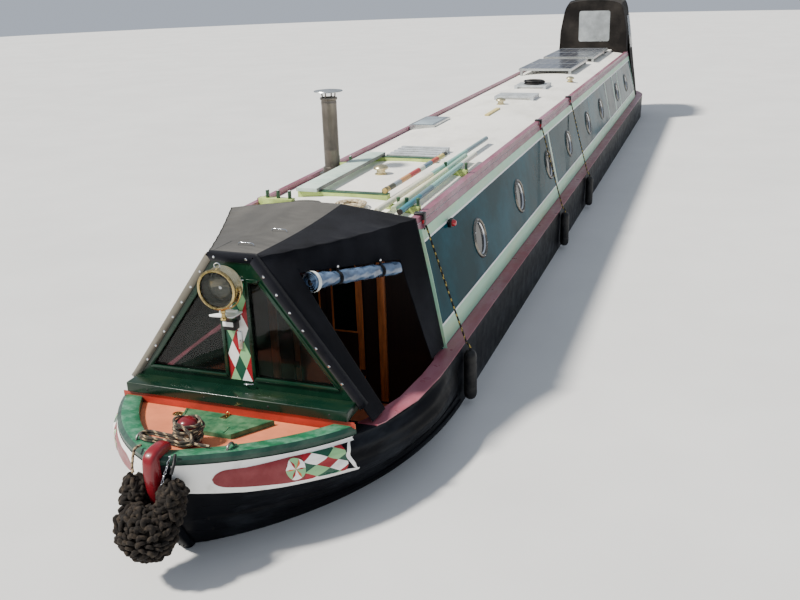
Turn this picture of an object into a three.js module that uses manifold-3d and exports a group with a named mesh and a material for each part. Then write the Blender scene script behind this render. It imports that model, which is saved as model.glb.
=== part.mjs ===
// A 60 foot steel narrowboat with a cratch and canopy at the bow and a pram hood at the stern.
// Millimetres, X to port, Y to the stern, Z up. Y = 0 is amidships and Z = 0 is under the flat bottom.
import * as THREE from "three";
import { mergeVertices } from "three/addons/utils/BufferGeometryUtils.js";
import Module from "manifold-3d";

const wasm = await Module();
wasm.setup();

// Touching pieces keep this gap, and moving pieces keep the clearance
const GAP = 0.3;
const CLEAR = 6;

// Hull
const BOTTOM_PLATE = 12;
const BOTTOM_HALF = 1020;
const TOP_HALF = 1040;
const GUNWALE_Z = 1080;
const HULL_TOP_Z = 1072;
const HULL_WALL = 60;
const STEM_Y = -9140;
const STEM_HALF = 14;
const STEM_RAKE = 880;
const BOW_SHOULDER_TOP = -7050;
const BOW_SHOULDER_LOW = -6100;
const SHEER_START = -7750;
const SHEER_RUN = 1350;
const SHEER_RISE = 168;
const UXTER_Z = 536;
const SWIM_START = 5600;
const SWIM_END = 8300;
const COUNTER_START = 7750;
const STERN_Y = 9145;

// Cabin, measured from its front bulkhead
const CABIN_FRONT = -6850;
const CABIN_LENGTH = 14300;
const CABIN_END = CABIN_FRONT + CABIN_LENGTH;
const CABIN_BASE_HALF = 925;
const CABIN_WALL = 50;
const TUMBLEHOME = 0.22;
const SIDE_TOP_Z = GUNWALE_Z + 865;
const ROOF_THICK = 50;
const ROOF_EDGE_Z = SIDE_TOP_Z + ROOF_THICK;
const ROOF_CAMBER = 70;
const RAIL_WIDTH = 50;
const RAIL_HEIGHT = 45;
const PORTHOLE_RADIUS = 150;
const PORTHOLE_Z = GUNWALE_Z + 440;
const PORTHOLES = [1450, 3040, 4680, 6100, 7860, 9340, 11560, 13050];

// Well deck and cratch, at the front of the cabin
const WELL_FLOOR_Z = 550;
const COAMING_Y = CABIN_FRONT - 1440;
const BOARD_Y = CABIN_FRONT - 1310;
const BOARD_THICK = 40;
const BOARD_BASE_HALF = 815;
const BOARD_TOP_HALF = 160;
const BOARD_BASE_Z = GUNWALE_Z + 180;
const BOARD_TOP_Z = GUNWALE_Z + 1050;
const RIM_WIDTH = 130;
const RIM_HEIGHT = 50;
const LOCKER_HINGE_Y = CABIN_FRONT - 1800;
const LOCKER_BACK_Y = CABIN_FRONT - 1500;

// Doors, the same pair at each end of the cabin
const DOOR_HALF = 312;
const DOOR_THICK = 35;
const HINGE_X = 311;
const HINGE_RADIUS = 7;

// Stern gear
const STERN_DECK_TOP = GUNWALE_Z;
const SHAFT_Z = 300;
const SHAFT_RADIUS = 20;
const PROPELLER_Y = 8470;
const PROPELLER_RADIUS = 215;
const STOCK_Y = 8760;
const STOCK_RADIUS = 25;
const RUDDER_BOTTOM = 40;
const TILLER_Z = GUNWALE_Z + 830;

function look(color, roughness, metalness = 0) {
  return new THREE.MeshStandardMaterial({ color, roughness, metalness });
}

const TEAL = look(0x0f3a3c, 0.25);
const BLACK = look(0x15161a, 0.55);
const MAROON = look(0x7a2430, 0.4);
const CREAM = look(0xe6e2d3, 0.5);
const GREEN = look(0x1f5a38, 0.45);
const DARK_GREEN = look(0x0f3322, 0.35);
const PALE_GREEN = look(0xaac79a, 0.5);
const SALMON = look(0xc76043, 0.6);
const RED = look(0xa01f26, 0.35);
const WOOD = look(0x6b3d1f, 0.55);
const BRASS = look(0xb08d45, 0.3, 0.9);
const STEEL = look(0x6f6f6c, 0.4, 0.8);
const CANVAS = look(0x26262b, 0.9);
const ROPE = look(0x4c443a, 0.95);
const GLASS = look(0x1b222b, 0.15);

const boat = new THREE.Group();

function piece(name, shape, material) {
  const mesh = new THREE.Mesh(shape, material);
  mesh.name = name;
  boat.add(mesh);
  return mesh;
}

function mix(a, b, t) {
  return a + (b - a) * t;
}

// Keeps only positions, with shared vertices merged and faces pointing out
function closed(source) {
  const bare = new THREE.BufferGeometry();
  bare.setAttribute("position", source.getAttribute("position").clone());
  if (source.index) bare.setIndex(source.index.clone());
  const merged = mergeVertices(bare, 0.01);
  const place = merged.getAttribute("position");
  const index = merged.index.array;
  const faces = [];
  let volume = 0;
  for (let i = 0; i < index.length; i += 3) {
    const [a, b, c] = [index[i], index[i + 1], index[i + 2]];
    if (a === b || b === c || c === a) continue;
    faces.push(a, b, c);
    const [p, q, r] = [a, b, c].map((v) => new THREE.Vector3().fromBufferAttribute(place, v));
    volume += p.dot(q.cross(r));
  }
  if (volume < 0) faces.reverse();
  merged.setIndex(faces);
  return merged;
}

function solid(shape) {
  const { position } = closed(shape).attributes;
  return new wasm.Manifold(new wasm.Mesh({
    numProp: 3,
    vertProperties: Float32Array.from(position.array),
    triVerts: Uint32Array.from(closed(shape).index.array),
  }));
}

function geometry(body) {
  const mesh = body.getMesh();
  const shape = new THREE.BufferGeometry();
  shape.setAttribute("position", new THREE.Float32BufferAttribute(mesh.vertProperties, 3));
  shape.setIndex(Array.from(mesh.triVerts));
  return shape;
}

function join(shapes) {
  return geometry(shapes.map(solid).reduce((whole, next) => whole.add(next)));
}

function cut(shape, tools) {
  return geometry(tools.map(solid).reduce((whole, next) => whole.subtract(next), solid(shape)));
}

// A box from its [low, high] pairs
function box(x, y, z) {
  const shape = new THREE.BoxGeometry(x[1] - x[0], y[1] - y[0], z[1] - z[0]);
  return closed(shape.translate((x[0] + x[1]) / 2, (y[0] + y[1]) / 2, (z[0] + z[1]) / 2));
}

// Turns an outline drawn in the plane across an axis into a plate from low to high on that axis
const TURNS = {
  x: new THREE.Matrix4().set(0, 0, 1, 0, 1, 0, 0, 0, 0, 1, 0, 0, 0, 0, 0, 1),
  y: new THREE.Matrix4().set(1, 0, 0, 0, 0, 0, 1, 0, 0, 1, 0, 0, 0, 0, 0, 1),
  z: new THREE.Matrix4(),
};

function plate(axis, outline, low, high, holes = []) {
  const corners = outline.map(([u, v]) => new THREE.Vector2(u, v));
  if (THREE.ShapeUtils.isClockWise(corners)) corners.reverse();
  const shape = new THREE.Shape(corners);
  shape.holes = holes;
  const body = new THREE.ExtrudeGeometry(shape, { depth: high - low, bevelEnabled: false, curveSegments: 10 });
  return closed(body.translate(0, 0, low).applyMatrix4(TURNS[axis]));
}

function roundHole(u, v, radius) {
  const hole = new THREE.Path();
  hole.absarc(u, v, radius, 0, Math.PI * 2, true);
  return hole;
}

function outlineHole(points) {
  return new THREE.Path(points.map(([u, v]) => new THREE.Vector2(u, v)));
}

// A round bar between two points
function bar(from, to, radius, sides = 12, endRadius = radius) {
  const start = new THREE.Vector3(...from);
  const run = new THREE.Vector3(...to).sub(start);
  const shape = new THREE.CylinderGeometry(endRadius, radius, run.length(), sides);
  shape.translate(0, run.length() / 2, 0);
  shape.applyQuaternion(new THREE.Quaternion().setFromUnitVectors(new THREE.Vector3(0, 1, 0), run.clone().normalize()));
  return closed(shape.translate(...from));
}

// A turned piece on an upright axis, from [radius, height] pairs
function turned(x, y, z, profile, sides = 16) {
  const shape = new THREE.LatheGeometry(profile.map(([r, h]) => new THREE.Vector2(r, h)), sides);
  return closed(shape.rotateX(Math.PI / 2).translate(x, y, z));
}

// A tube along a smooth curve through the points
function tube(points, radius, sides = 8, steps = 24) {
  const curve = new THREE.CatmullRomCurve3(points.map((p) => new THREE.Vector3(...p)));
  const ring = [];
  for (let i = 0; i < sides; i += 1) {
    const turn = (i / sides) * Math.PI * 2;
    ring.push(new THREE.Vector2(Math.cos(turn) * radius, Math.sin(turn) * radius));
  }
  const body = new THREE.ExtrudeGeometry(new THREE.Shape(ring), { steps, extrudePath: curve, bevelEnabled: false });
  return closed(body);
}

// A closed body through rings of equal count. Each end is closed in strips that join the ring's
// first half to its second half taken backwards
function loft(rings) {
  const count = rings[0].length;
  const index = [];
  for (let r = 0; r + 1 < rings.length; r += 1) {
    for (let i = 0; i < count; i += 1) {
      const a = r * count + i;
      const b = r * count + ((i + 1) % count);
      index.push(a, b, b + count, a, b + count, a + count);
    }
  }
  const lastRing = (rings.length - 1) * count;
  for (let i = 0; i + 1 < count / 2; i += 1) {
    const [a, b, c, d] = [i, i + 1, count - 2 - i, count - 1 - i];
    index.push(a, c, b, a, d, c);
    index.push(lastRing + a, lastRing + b, lastRing + c, lastRing + a, lastRing + c, lastRing + d);
  }
  const shape = new THREE.BufferGeometry();
  shape.setAttribute("position", new THREE.Float32BufferAttribute(rings.flat(2), 3));
  shape.setIndex(index);
  return closed(shape);
}

// Heights and half widths of the hull. Level 0 is the bottom edge and level 1 the top edge
function sheer(y) {
  const rise = Math.max((SHEER_START - y) / SHEER_RUN, 0);
  return HULL_TOP_Z + SHEER_RISE * rise ** 1.5;
}

// The height between two rows of a rising table, as straight runs between its places
function between(rows, at) {
  const last = rows.findIndex(([place], i) => i > 0 && place >= at);
  const i = last < 0 ? rows.length - 1 : last;
  const [[a, low], [b, high]] = [rows[i - 1], rows[i]];
  return mix(low, high, (at - a) / (b - a));
}

function stemY(level) {
  return STEM_Y + STEM_RAKE * (1 - level) ** 2;
}

function bowShoulder(level) {
  return mix(BOW_SHOULDER_LOW, BOW_SHOULDER_TOP, level);
}

// The bow's sides bulge out below the deck edge. Rows are [level, share of the bulge]
const BULGE = 100;
const BULGE_ROWS = [[0, 0], [0.62, 0], [0.71, 0.2], [0.8, 0.85], [0.86, 1], [0.93, 0.65], [1, 0]];

function halfWidth(y, level, swim) {
  const beam = mix(BOTTOM_HALF, TOP_HALF, level);
  const shoulder = bowShoulder(level);
  if (y < shoulder) {
    const s = Math.min((shoulder - y) / (shoulder - stemY(level)), 1);
    const bulge = BULGE * Math.min(5 * s * (1 - s), 1) * between(BULGE_ROWS, level);
    return Math.max(STEM_HALF, beam * (1 - s ** mix(2, 2.6, level)) ** mix(0.85, 0.8, level) + bulge);
  }
  if (swim && y > SWIM_START) {
    const s = (y - SWIM_START) / (SWIM_END - SWIM_START);
    return Math.max(30, beam * (1 - s ** 2.2));
  }
  if (!swim && y > COUNTER_START) {
    const s = Math.min((y - COUNTER_START) / (STERN_Y - COUNTER_START), 1);
    return Math.max(200, beam * Math.sqrt(1 - s * s));
  }
  return beam;
}

const BOW_STEPS = [1, 0.985, 0.94, 0.87, 0.77, 0.64, 0.48, 0.3, 0.12, 0];
const STERN_STEPS = [0, 0.25, 0.48, 0.68, 0.84, 0.95, 1];

function hullStations(level, swim) {
  const [sternFrom, sternTo] = swim ? [SWIM_START, SWIM_END] : [COUNTER_START, STERN_Y];
  const along = BOW_STEPS.map((s) => mix(bowShoulder(level), stemY(level), s));
  along.push(SWIM_START, ...STERN_STEPS.map((s) => mix(sternFrom, sternTo, s)));
  return along.filter((y, i) => i === 0 || y > along[i - 1]);
}

const TOP_EDGE = hullStations(1, false).map((y) => [y, sheer(y)]);

// The top of the plating, and of what is welded on it
function hullTop(y) {
  return between(TOP_EDGE, y);
}

// One ring of the hull at a level, from the stem to the stern on port and back on starboard
function hullRing(level, swim) {
  const height = (y) => mix(BOTTOM_PLATE + GAP, sheer(y), level);
  const port = hullStations(level, swim).map((y) => [halfWidth(y, level, swim), y, height(y)]);
  const starboard = port.map(([x, y, z]) => [-x, y, z]).reverse();
  return [...port, ...starboard];
}

const DECK_LEVEL = (UXTER_Z - BOTTOM_PLATE - GAP) / (HULL_TOP_Z - BOTTOM_PLATE - GAP);

const UPPER_LEVELS = [DECK_LEVEL, 0.66, 0.8, 0.86, 0.93, 1];

// The space inside the hull between two places, a wall's thickness in from the plating
const SPACE_KNOTS = [
  -8000, -7700, -7400, -7100, -6850, -6600, -6350, -6100, -5800, 5600, 6100, 6500, 6900, 7250, 7600, 7850,
];

function hullSpace(y0, y1, heights, swim, inset = HULL_WALL) {
  const along = [y0, ...SPACE_KNOTS.filter((y) => y > y0 + 20 && y < y1 - 20), y1];
  return loft(heights.map((z) => {
    const level = Math.min((z - BOTTOM_PLATE) / (HULL_TOP_Z - BOTTOM_PLATE), 1);
    const port = along.map((y) => [halfWidth(y, level, swim) - inset, y, z]);
    return [...port, ...port.map(([x, y]) => [-x, y, z]).reverse()];
  }));
}

// A rubbing strake: a flat bar bent round the side of the hull at a level
function strake(side, level, y0, y1, steps, proud, height) {
  const rings = [];
  for (let i = 0; i <= steps; i += 1) {
    const y = mix(y0, y1, i / steps);
    const x = halfWidth(y, level, false);
    const z = mix(BOTTOM_PLATE, sheer(y), level);
    rings.push([
      [side * (x - 15), y, z - height / 2],
      [side * (x + proud), y, z - height / 3],
      [side * (x + proud), y, z + height / 3],
      [side * (x - 15), y, z + height / 2],
    ]);
  }
  return loft(rings);
}

// Rubbing strakes: level on the side, start, end, steps, how far they stand out, height
const STRAKES = [
  { level: 0.5, y0: -8500, y1: 8300, steps: 14, proud: 22, height: 60 },
  { level: 0.68, y0: -8950, y1: -6900, steps: 12, proud: 16, height: 36 },
  { level: 0.6, y0: -8900, y1: -6800, steps: 12, proud: 16, height: 36 },
];

function lockerOutline(grow) {
  return [
    [-310 - grow, LOCKER_BACK_Y + grow],
    [-185 - grow, LOCKER_HINGE_Y - grow],
    [185 + grow, LOCKER_HINGE_Y - grow],
    [310 + grow, LOCKER_BACK_Y + grow],
  ];
}

const INSIDE_FLOOR_Z = 120;
const ENGINE_FLOOR_Z = 240;
const ENGINE_END = 8000;

function hullShell() {
  const lower = loft([0, 0.17, 0.34, DECK_LEVEL].map((level) => hullRing(level, true)));
  const upper = loft(UPPER_LEVELS.map((level) => hullRing(level, false)));
  const strakes = [];
  for (const row of STRAKES) {
    for (const side of [1, -1]) {
      strakes.push(strake(side, row.level, row.y0, row.y1, row.steps, row.proud, row.height));
    }
  }
  const [lowEnd, highStart] = [UXTER_Z + 60, UXTER_Z + 50];
  const spaces = [
    hullSpace(CABIN_FRONT, CABIN_END - CABIN_WALL, [INSIDE_FLOOR_Z, lowEnd], true),
    hullSpace(CABIN_FRONT, CABIN_END - CABIN_WALL, [highStart, HULL_TOP_Z, 1400], false),
    hullSpace(BOARD_Y + 60, CABIN_FRONT + 10, [WELL_FLOOR_Z, HULL_TOP_Z, 1400], false),
    hullSpace(CABIN_END + 20, ENGINE_END + 50, [ENGINE_FLOOR_Z, lowEnd], true),
    hullSpace(CABIN_END + 20, ENGINE_END + 50, [highStart, HULL_TOP_Z, 1400], false),
    plate("z", lockerOutline(-35), 820, 1400),
    bar([0, ENGINE_END, SHAFT_Z], [0, 8400, SHAFT_Z], SHAFT_RADIUS + CLEAR),
    bar([0, STOCK_Y, 400], [0, STOCK_Y, 1400], STOCK_RADIUS + CLEAR),
  ];
  return cut(join([lower, upper, ...strakes]), spaces);
}

function basePlate() {
  const port = hullRing(0, true).slice(0, hullRing(0, true).length / 2).map(([x, y]) => [x + 10, y]);
  const skeg = [[45, SWIM_END], [45, STOCK_Y + 60]];
  const half = [...port.slice(0, -1), ...skeg];
  const outline = [...half, ...half.map(([x, y]) => [-x, y]).reverse()];
  return join([plate("z", outline, 0, BOTTOM_PLATE), turned(0, STOCK_Y, BOTTOM_PLATE - 2, [
    [0, 0], [40, 0], [40, RUDDER_BOTTOM - BOTTOM_PLATE + 2 - GAP], [0, RUDDER_BOTTOM - BOTTOM_PLATE + 2 - GAP],
  ])]);
}

// The plate that caps the hull side, carries the cabin and runs round the stern
const GUNWALE_LIP = 6;
const GUNWALE_PLATE = 7;
const GUNWALE_INNER = CABIN_BASE_HALF - CABIN_WALL - 10;

function gunwaleRows() {
  const rows = [BOARD_Y + 30, ...TOP_EDGE.map(([y]) => y).filter((y) => y > BOARD_Y + 30 && y < CABIN_FRONT)];
  const straight = rows.map((y) => {
    const outer = halfWidth(y, 1, false) + GUNWALE_LIP;
    return { outer: [outer, y], inner: [outer - RIM_WIDTH, y] };
  });
  for (const y of [CABIN_FRONT, COUNTER_START - 2]) {
    straight.push({ outer: [TOP_HALF + GUNWALE_LIP, y], inner: [GUNWALE_INNER, y] });
  }
  const round = STERN_STEPS.map((s) => {
    const y = mix(COUNTER_START, STERN_Y, s);
    const x = halfWidth(y, 1, false);
    const out = new THREE.Vector2(x / TOP_HALF ** 2, (y - COUNTER_START) / (STERN_Y - COUNTER_START) ** 2).normalize();
    const offset = (d) => [x + out.x * d, y + out.y * d];
    return { outer: offset(GUNWALE_LIP), inner: offset(-STERN_EDGE) };
  });
  return [...straight, ...round];
}

const STERN_EDGE = 120;

function gunwale() {
  const port = gunwaleRows();
  const flip = ({ outer, inner }) => ({ outer: [-outer[0], outer[1]], inner: [-inner[0], inner[1]] });
  return loft([...port, ...port.map(flip).reverse()].map(({ outer, inner }) => {
    const [inZ, outZ] = [hullTop(inner[1]) + GAP, hullTop(outer[1]) + GAP];
    return [
      [...inner, inZ], [...outer, outZ], [...outer, outZ + GUNWALE_PLATE], [...inner, inZ + GUNWALE_PLATE],
    ];
  }));
}

// Half the edge of the fore deck from the stem to a place aft, a distance in from the hull side
const EDGE_STEPS = 10;

function insetHalf(y, inset) {
  const slope = (halfWidth(y + 5, 1, false) - halfWidth(y - 5, 1, false)) / 10;
  return halfWidth(y, 1, false) - inset * Math.hypot(1, slope);
}

function deckEdge(inset, backY) {
  let start = STEM_Y + 5;
  while (insetHalf(start, inset) < STEM_HALF) start += 5;
  const half = inset > 0 ? [[STEM_HALF, start]] : [[STEM_HALF, STEM_Y]];
  for (let i = 1; i <= EDGE_STEPS; i += 1) {
    const y = mix(half[0][1], backY, (i / EDGE_STEPS) ** 1.3);
    half.push([insetHalf(y, inset), y]);
  }
  return half;
}

const DECK_LIFT = GAP;
const DECK_BACK_Y = COAMING_Y - 1;

// The green edge of the fore deck, level on top and sloped outside
function bowRim() {
  const rings = [[0, 0, 0], [0, 0, 12], [30, 0, RIM_HEIGHT]].map(([outerIn, innerIn, rise]) => {
    const outer = deckEdge(outerIn, DECK_BACK_Y);
    const inner = deckEdge(RIM_WIDTH - innerIn, DECK_BACK_Y);
    const path = [...outer.map(([x, y]) => [-x, y]).reverse(), ...outer];
    const back = [...inner.map(([x, y]) => [-x, y]).reverse(), ...inner].reverse();
    return [...path, ...back].map(([x, y]) => [x, y, hullTop(y) + DECK_LIFT + rise]);
  });
  return loft(rings);
}

// The recessed deck inside it, with the low steel coaming welded across its back
const COAMING_TOP_Z = GUNWALE_Z + 95;
const COAMING_HALF = 815;

function foreDeck() {
  const half = deckEdge(RIM_WIDTH + 1, DECK_BACK_Y);
  const outline = [...half, ...half.map(([x, y]) => [-x, y]).reverse()];
  const rings = [0, 8].map((rise) => outline.map(([x, y]) => [x, y, hullTop(y) + DECK_LIFT + rise]));
  const low = hullTop(COAMING_Y) + DECK_LIFT;
  const coaming = box([-COAMING_HALF, COAMING_HALF], [COAMING_Y - 1, COAMING_Y + 12], [low, COAMING_TOP_Z]);
  return cut(join([loft(rings), coaming]), [plate("z", lockerOutline(-35), 1000, 1400)]);
}

// The lid lies on the fore deck and is hinged at its edge nearest the stem
const LOCKER_LID_THICK = 28;

function lockerTop(y) {
  return hullTop(y) + DECK_LIFT + 8 + 1;
}

function lockerLid() {
  const rings = [0, LOCKER_LID_THICK].map((rise) => lockerOutline(0).map(([x, y]) => [x, y, lockerTop(y) + rise]));
  return loft(rings.map(([a, b, c, d]) => [b, a, d, c]));
}

function deckTop(y) {
  return hullTop(y) + DECK_LIFT + 8;
}

// A flat pad that follows the slope of the fore deck
function deckPad(x, y, height) {
  const outline = [[x[0], y[0]], [x[0], y[1]], [x[1], y[1]], [x[1], y[0]]];
  return loft([GAP, height].map((rise) => outline.map(([u, v]) => [u, v, deckTop(v) + rise])));
}

// A bollard with a domed head, welded to the fore deck behind the stem
const STUD_Y = CABIN_FRONT - 1945;

function bowStud() {
  const post = turned(0, STUD_Y, deckTop(STUD_Y) + 12, [
    [0, 0], [40, 0], [37, 85], [52, 95], [58, 113], [50, 135], [28, 150], [0, 154],
  ]);
  return join([deckPad([-70, 70], [STUD_Y - 70, STUD_Y + 70], 16), post]);
}

// The stem post stands in front of the plating and its rounded head turns back over the deck edge
const POST_HALF = 42;
const POST_PROUD = 66;

function stemPost() {
  const deck = hullTop(STEM_Y) + DECK_LIFT + RIM_HEIGHT + 1;
  const rows = [...UPPER_LEVELS].map((level) => {
    const back = stemY(level) - GAP;
    const z = mix(BOTTOM_PLATE + GAP, sheer(stemY(level)), level);
    return { outer: [back - mix(30, POST_PROUD, Math.min(level / 0.8, 1)), z], inner: [back, z] };
  });
  rows.push({ outer: [STEM_Y - 56, deck + 12], inner: [STEM_Y - GAP, deck - 10] });
  rows.push({ outer: [STEM_Y - 22, deck + 38], inner: [STEM_Y - GAP, deck] });
  rows.push({ outer: [STEM_Y + 30, deck + 46], inner: [STEM_Y + 30, deck] });
  rows.push({ outer: [STEM_Y + 120, deck + 38], inner: [STEM_Y + 120, deck] });
  return loft(rows.map(({ outer, inner }) => [
    [-POST_HALF, ...inner], [-POST_HALF * 0.7, ...outer], [POST_HALF * 0.7, ...outer], [POST_HALF, ...inner],
  ]));
}

// The timber sill that the cratch board stands on
function cratchSill() {
  return box([-825, 825], [COAMING_Y - 30, BOARD_Y + BOARD_THICK], [COAMING_TOP_Z + GAP, BOARD_BASE_Z - GAP]);
}

// The cratch board: a timber triangle with two panes beside a middle post
const PANE_LOW = BOARD_BASE_Z + 70;
const PANE_HIGH = BOARD_BASE_Z + 720;
const MIDDLE_POST_HALF = 95;
const BOARD_STILE = 90;

function boardHalf(z) {
  return mix(BOARD_BASE_HALF, BOARD_TOP_HALF, (z - BOARD_BASE_Z) / (BOARD_TOP_Z - BOARD_BASE_Z));
}

function cratchBoard() {
  const outline = [
    [-BOARD_BASE_HALF, BOARD_BASE_Z], [BOARD_BASE_HALF, BOARD_BASE_Z],
    [BOARD_TOP_HALF, BOARD_TOP_Z], [-BOARD_TOP_HALF, BOARD_TOP_Z],
  ];
  const panes = [1, -1].map((side) => plate("y", [
    [side * MIDDLE_POST_HALF, PANE_LOW], [side * (boardHalf(PANE_LOW) - BOARD_STILE), PANE_LOW],
    [side * (boardHalf(PANE_HIGH) - BOARD_STILE), PANE_HIGH], [side * MIDDLE_POST_HALF, PANE_HIGH],
  ], BOARD_Y - 10, BOARD_Y + BOARD_THICK + 10));
  return cut(plate("y", outline, BOARD_Y, BOARD_Y + BOARD_THICK), panes);
}

// The headlamp and its bracket on the middle post of the board
const LAMP_Z = GUNWALE_Z + 895;
const LAMP_RADIUS = 138;
const LAMP_FRONT = BOARD_Y - 190;

function headlamp() {
  const bowl = bar([0, LAMP_FRONT, LAMP_Z], [0, LAMP_FRONT + 95, LAMP_Z], LAMP_RADIUS, 24, LAMP_RADIUS * 0.94);
  const back = bar([0, LAMP_FRONT + 94, LAMP_Z], [0, LAMP_FRONT + 150, LAMP_Z], LAMP_RADIUS * 0.94, 24, 40);
  const hollow = bar([0, LAMP_FRONT - 5, LAMP_Z], [0, LAMP_FRONT + 55, LAMP_Z], LAMP_RADIUS - 12, 24, LAMP_RADIUS - 16);
  const arm = box([-18, 18], [LAMP_FRONT + 130, BOARD_Y - GAP], [LAMP_Z - 14, LAMP_Z + 14]);
  const foot = box([-35, 35], [BOARD_Y - 12, BOARD_Y - GAP], [LAMP_Z - 60, LAMP_Z + 60]);
  return cut(join([bowl, back, arm, foot]), [hollow]);
}

// The trumpet horn under the lamp
const HORN_Z = GUNWALE_Z + 690;

function horn() {
  const bell = bar([-60, BOARD_Y - 90, HORN_Z], [70, BOARD_Y - 90, HORN_Z], 42, 12, 12);
  const mount = box([20, 50], [BOARD_Y - 92, BOARD_Y - GAP], [HORN_Z - 12, HORN_Z + 12]);
  const boxUnder = box([-45, 45], [BOARD_Y - 60, BOARD_Y - GAP], [HORN_Z - 130, HORN_Z - 70]);
  const stem = box([20, 44], [BOARD_Y - 30, BOARD_Y - GAP], [HORN_Z - 80, HORN_Z]);
  return join([bell, mount, boxUnder, stem]);
}

// Cabin section: half width outside at a height, and the height of the roof's top
function cabinHalf(z) {
  return CABIN_BASE_HALF - TUMBLEHOME * (z - GUNWALE_Z);
}

const ROOF_HALF = cabinHalf(ROOF_EDGE_Z);

const ROOF_STEPS = 16;
const ROOF_ROWS = Array.from({ length: ROOF_STEPS + 1 }, (_, i) => {
  const x = mix(-ROOF_HALF, ROOF_HALF, i / ROOF_STEPS);
  return [x, ROOF_EDGE_Z + ROOF_CAMBER * (1 - (x / ROOF_HALF) ** 2)];
});

function roofTop(x) {
  return between(ROOF_ROWS, x);
}

// One whole side of the cabin with its portholes cut, leaning in towards the roof
const SIDE_FOOT_Z = GUNWALE_Z + GAP;

function cabinSide(side) {
  const outline = [
    [CABIN_FRONT, SIDE_FOOT_Z], [CABIN_END, SIDE_FOOT_Z], [CABIN_END, SIDE_TOP_Z], [CABIN_FRONT, SIDE_TOP_Z],
  ];
  const holes = PORTHOLES.map((y) => roundHole(CABIN_FRONT + y, PORTHOLE_Z, PORTHOLE_RADIUS));
  const shape = plate("x", outline, -CABIN_WALL, 0, holes);
  const place = shape.getAttribute("position");
  for (let i = 0; i < place.count; i += 1) {
    place.setX(i, side * (place.getX(i) + cabinHalf(place.getZ(i))));
  }
  return closed(shape);
}

// The top of the roof from x0 to x1, raised or lowered by an amount
function roofLine(x0, x1, rise) {
  const middle = ROOF_ROWS.map(([x]) => x).filter((x) => x > x0 + 1 && x < x1 - 1);
  return [x0, ...middle, x1].map((x) => [x, roofTop(x) + rise]);
}

const HATCH_HOLE_HALF = 330;
const HATCH_HOLE_LENGTH = 580;

function cabinRoof() {
  const under = roofLine(-ROOF_HALF, ROOF_HALF, -ROOF_THICK).map(([x, z]) => [x, Math.max(z, SIDE_TOP_Z + GAP)]);
  const sheet = plate("y", [...roofLine(-ROOF_HALF, ROOF_HALF, 0).reverse(), ...under], CABIN_FRONT, CABIN_END);
  const hole = box(
    [-HATCH_HOLE_HALF, HATCH_HOLE_HALF], [CABIN_END - HATCH_HOLE_LENGTH, CABIN_END + 10], [1800, 2300],
  );
  return join([cut(sheet, [hole]), hatchRunner(1), hatchRunner(-1)]);
}

function handrail(side) {
  const outer = ROOF_HALF - 4;
  const outline = [
    [side * outer, roofTop(outer) + GAP], [side * outer, ROOF_EDGE_Z + RAIL_HEIGHT],
    [side * (outer - RAIL_WIDTH), ROOF_EDGE_Z + RAIL_HEIGHT + 4],
    [side * (outer - RAIL_WIDTH), roofTop(outer - RAIL_WIDTH) + GAP],
  ];
  return plate("y", outline, CABIN_FRONT, CABIN_END);
}

// Something that stands on the cambered roof: its underside follows the roof and its top is level
function onRoof(x, y, topZ, lift = GAP) {
  const under = roofLine(x[0], x[1], lift);
  return plate("y", [...under, [x[1], topZ], [x[0], topZ]], y[0], y[1]);
}

// The wall between the well deck and the cabin, down to the well floor
function frontBulkhead() {
  const inHull = halfWidth(CABIN_FRONT, 1, false) - HULL_WALL - 3;
  const lowHull = halfWidth(CABIN_FRONT, 0.5, true) - HULL_WALL - 6;
  const half = [
    [lowHull, WELL_FLOOR_Z + GAP], [inHull - 4, HULL_TOP_Z - GAP], [CABIN_BASE_HALF - CABIN_WALL - 11, HULL_TOP_Z - GAP],
    [CABIN_BASE_HALF - CABIN_WALL - 11, GUNWALE_Z + 1],
    [cabinHalf(SIDE_TOP_Z) - CABIN_WALL - 1, SIDE_TOP_Z - 1],
  ];
  return bulkhead(half, CABIN_FRONT, WELL_FLOOR_Z + 70);
}

function aftBulkhead() {
  const half = [
    [CABIN_BASE_HALF - CABIN_WALL - 11, HULL_TOP_Z + GAP], [CABIN_BASE_HALF - CABIN_WALL - 11, GUNWALE_Z + 1],
    [cabinHalf(SIDE_TOP_Z) - CABIN_WALL - 1, SIDE_TOP_Z - 1],
  ];
  return bulkhead(half, CABIN_END - CABIN_WALL, GUNWALE_Z + 20);
}

const DOOR_TOP_Z = GUNWALE_Z + 800;

function bulkhead(half, y, sillZ) {
  const top = SIDE_TOP_Z - 1;
  const outline = [...half, ...half.map(([x, z]) => [-x, z]).reverse()];
  const door = outlineHole([[-DOOR_HALF, sillZ], [DOOR_HALF, sillZ], [DOOR_HALF, DOOR_TOP_Z], [-DOOR_HALF, DOOR_TOP_Z]]);
  const wall = plate("y", outline, y, y + CABIN_WALL, [door]);
  const crown = plate("y", [...roofLine(-640, 640, -ROOF_THICK - 1), [640, top - 20], [-640, top - 20]], y, y + CABIN_WALL);
  return join([wall, crown]);
}

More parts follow.
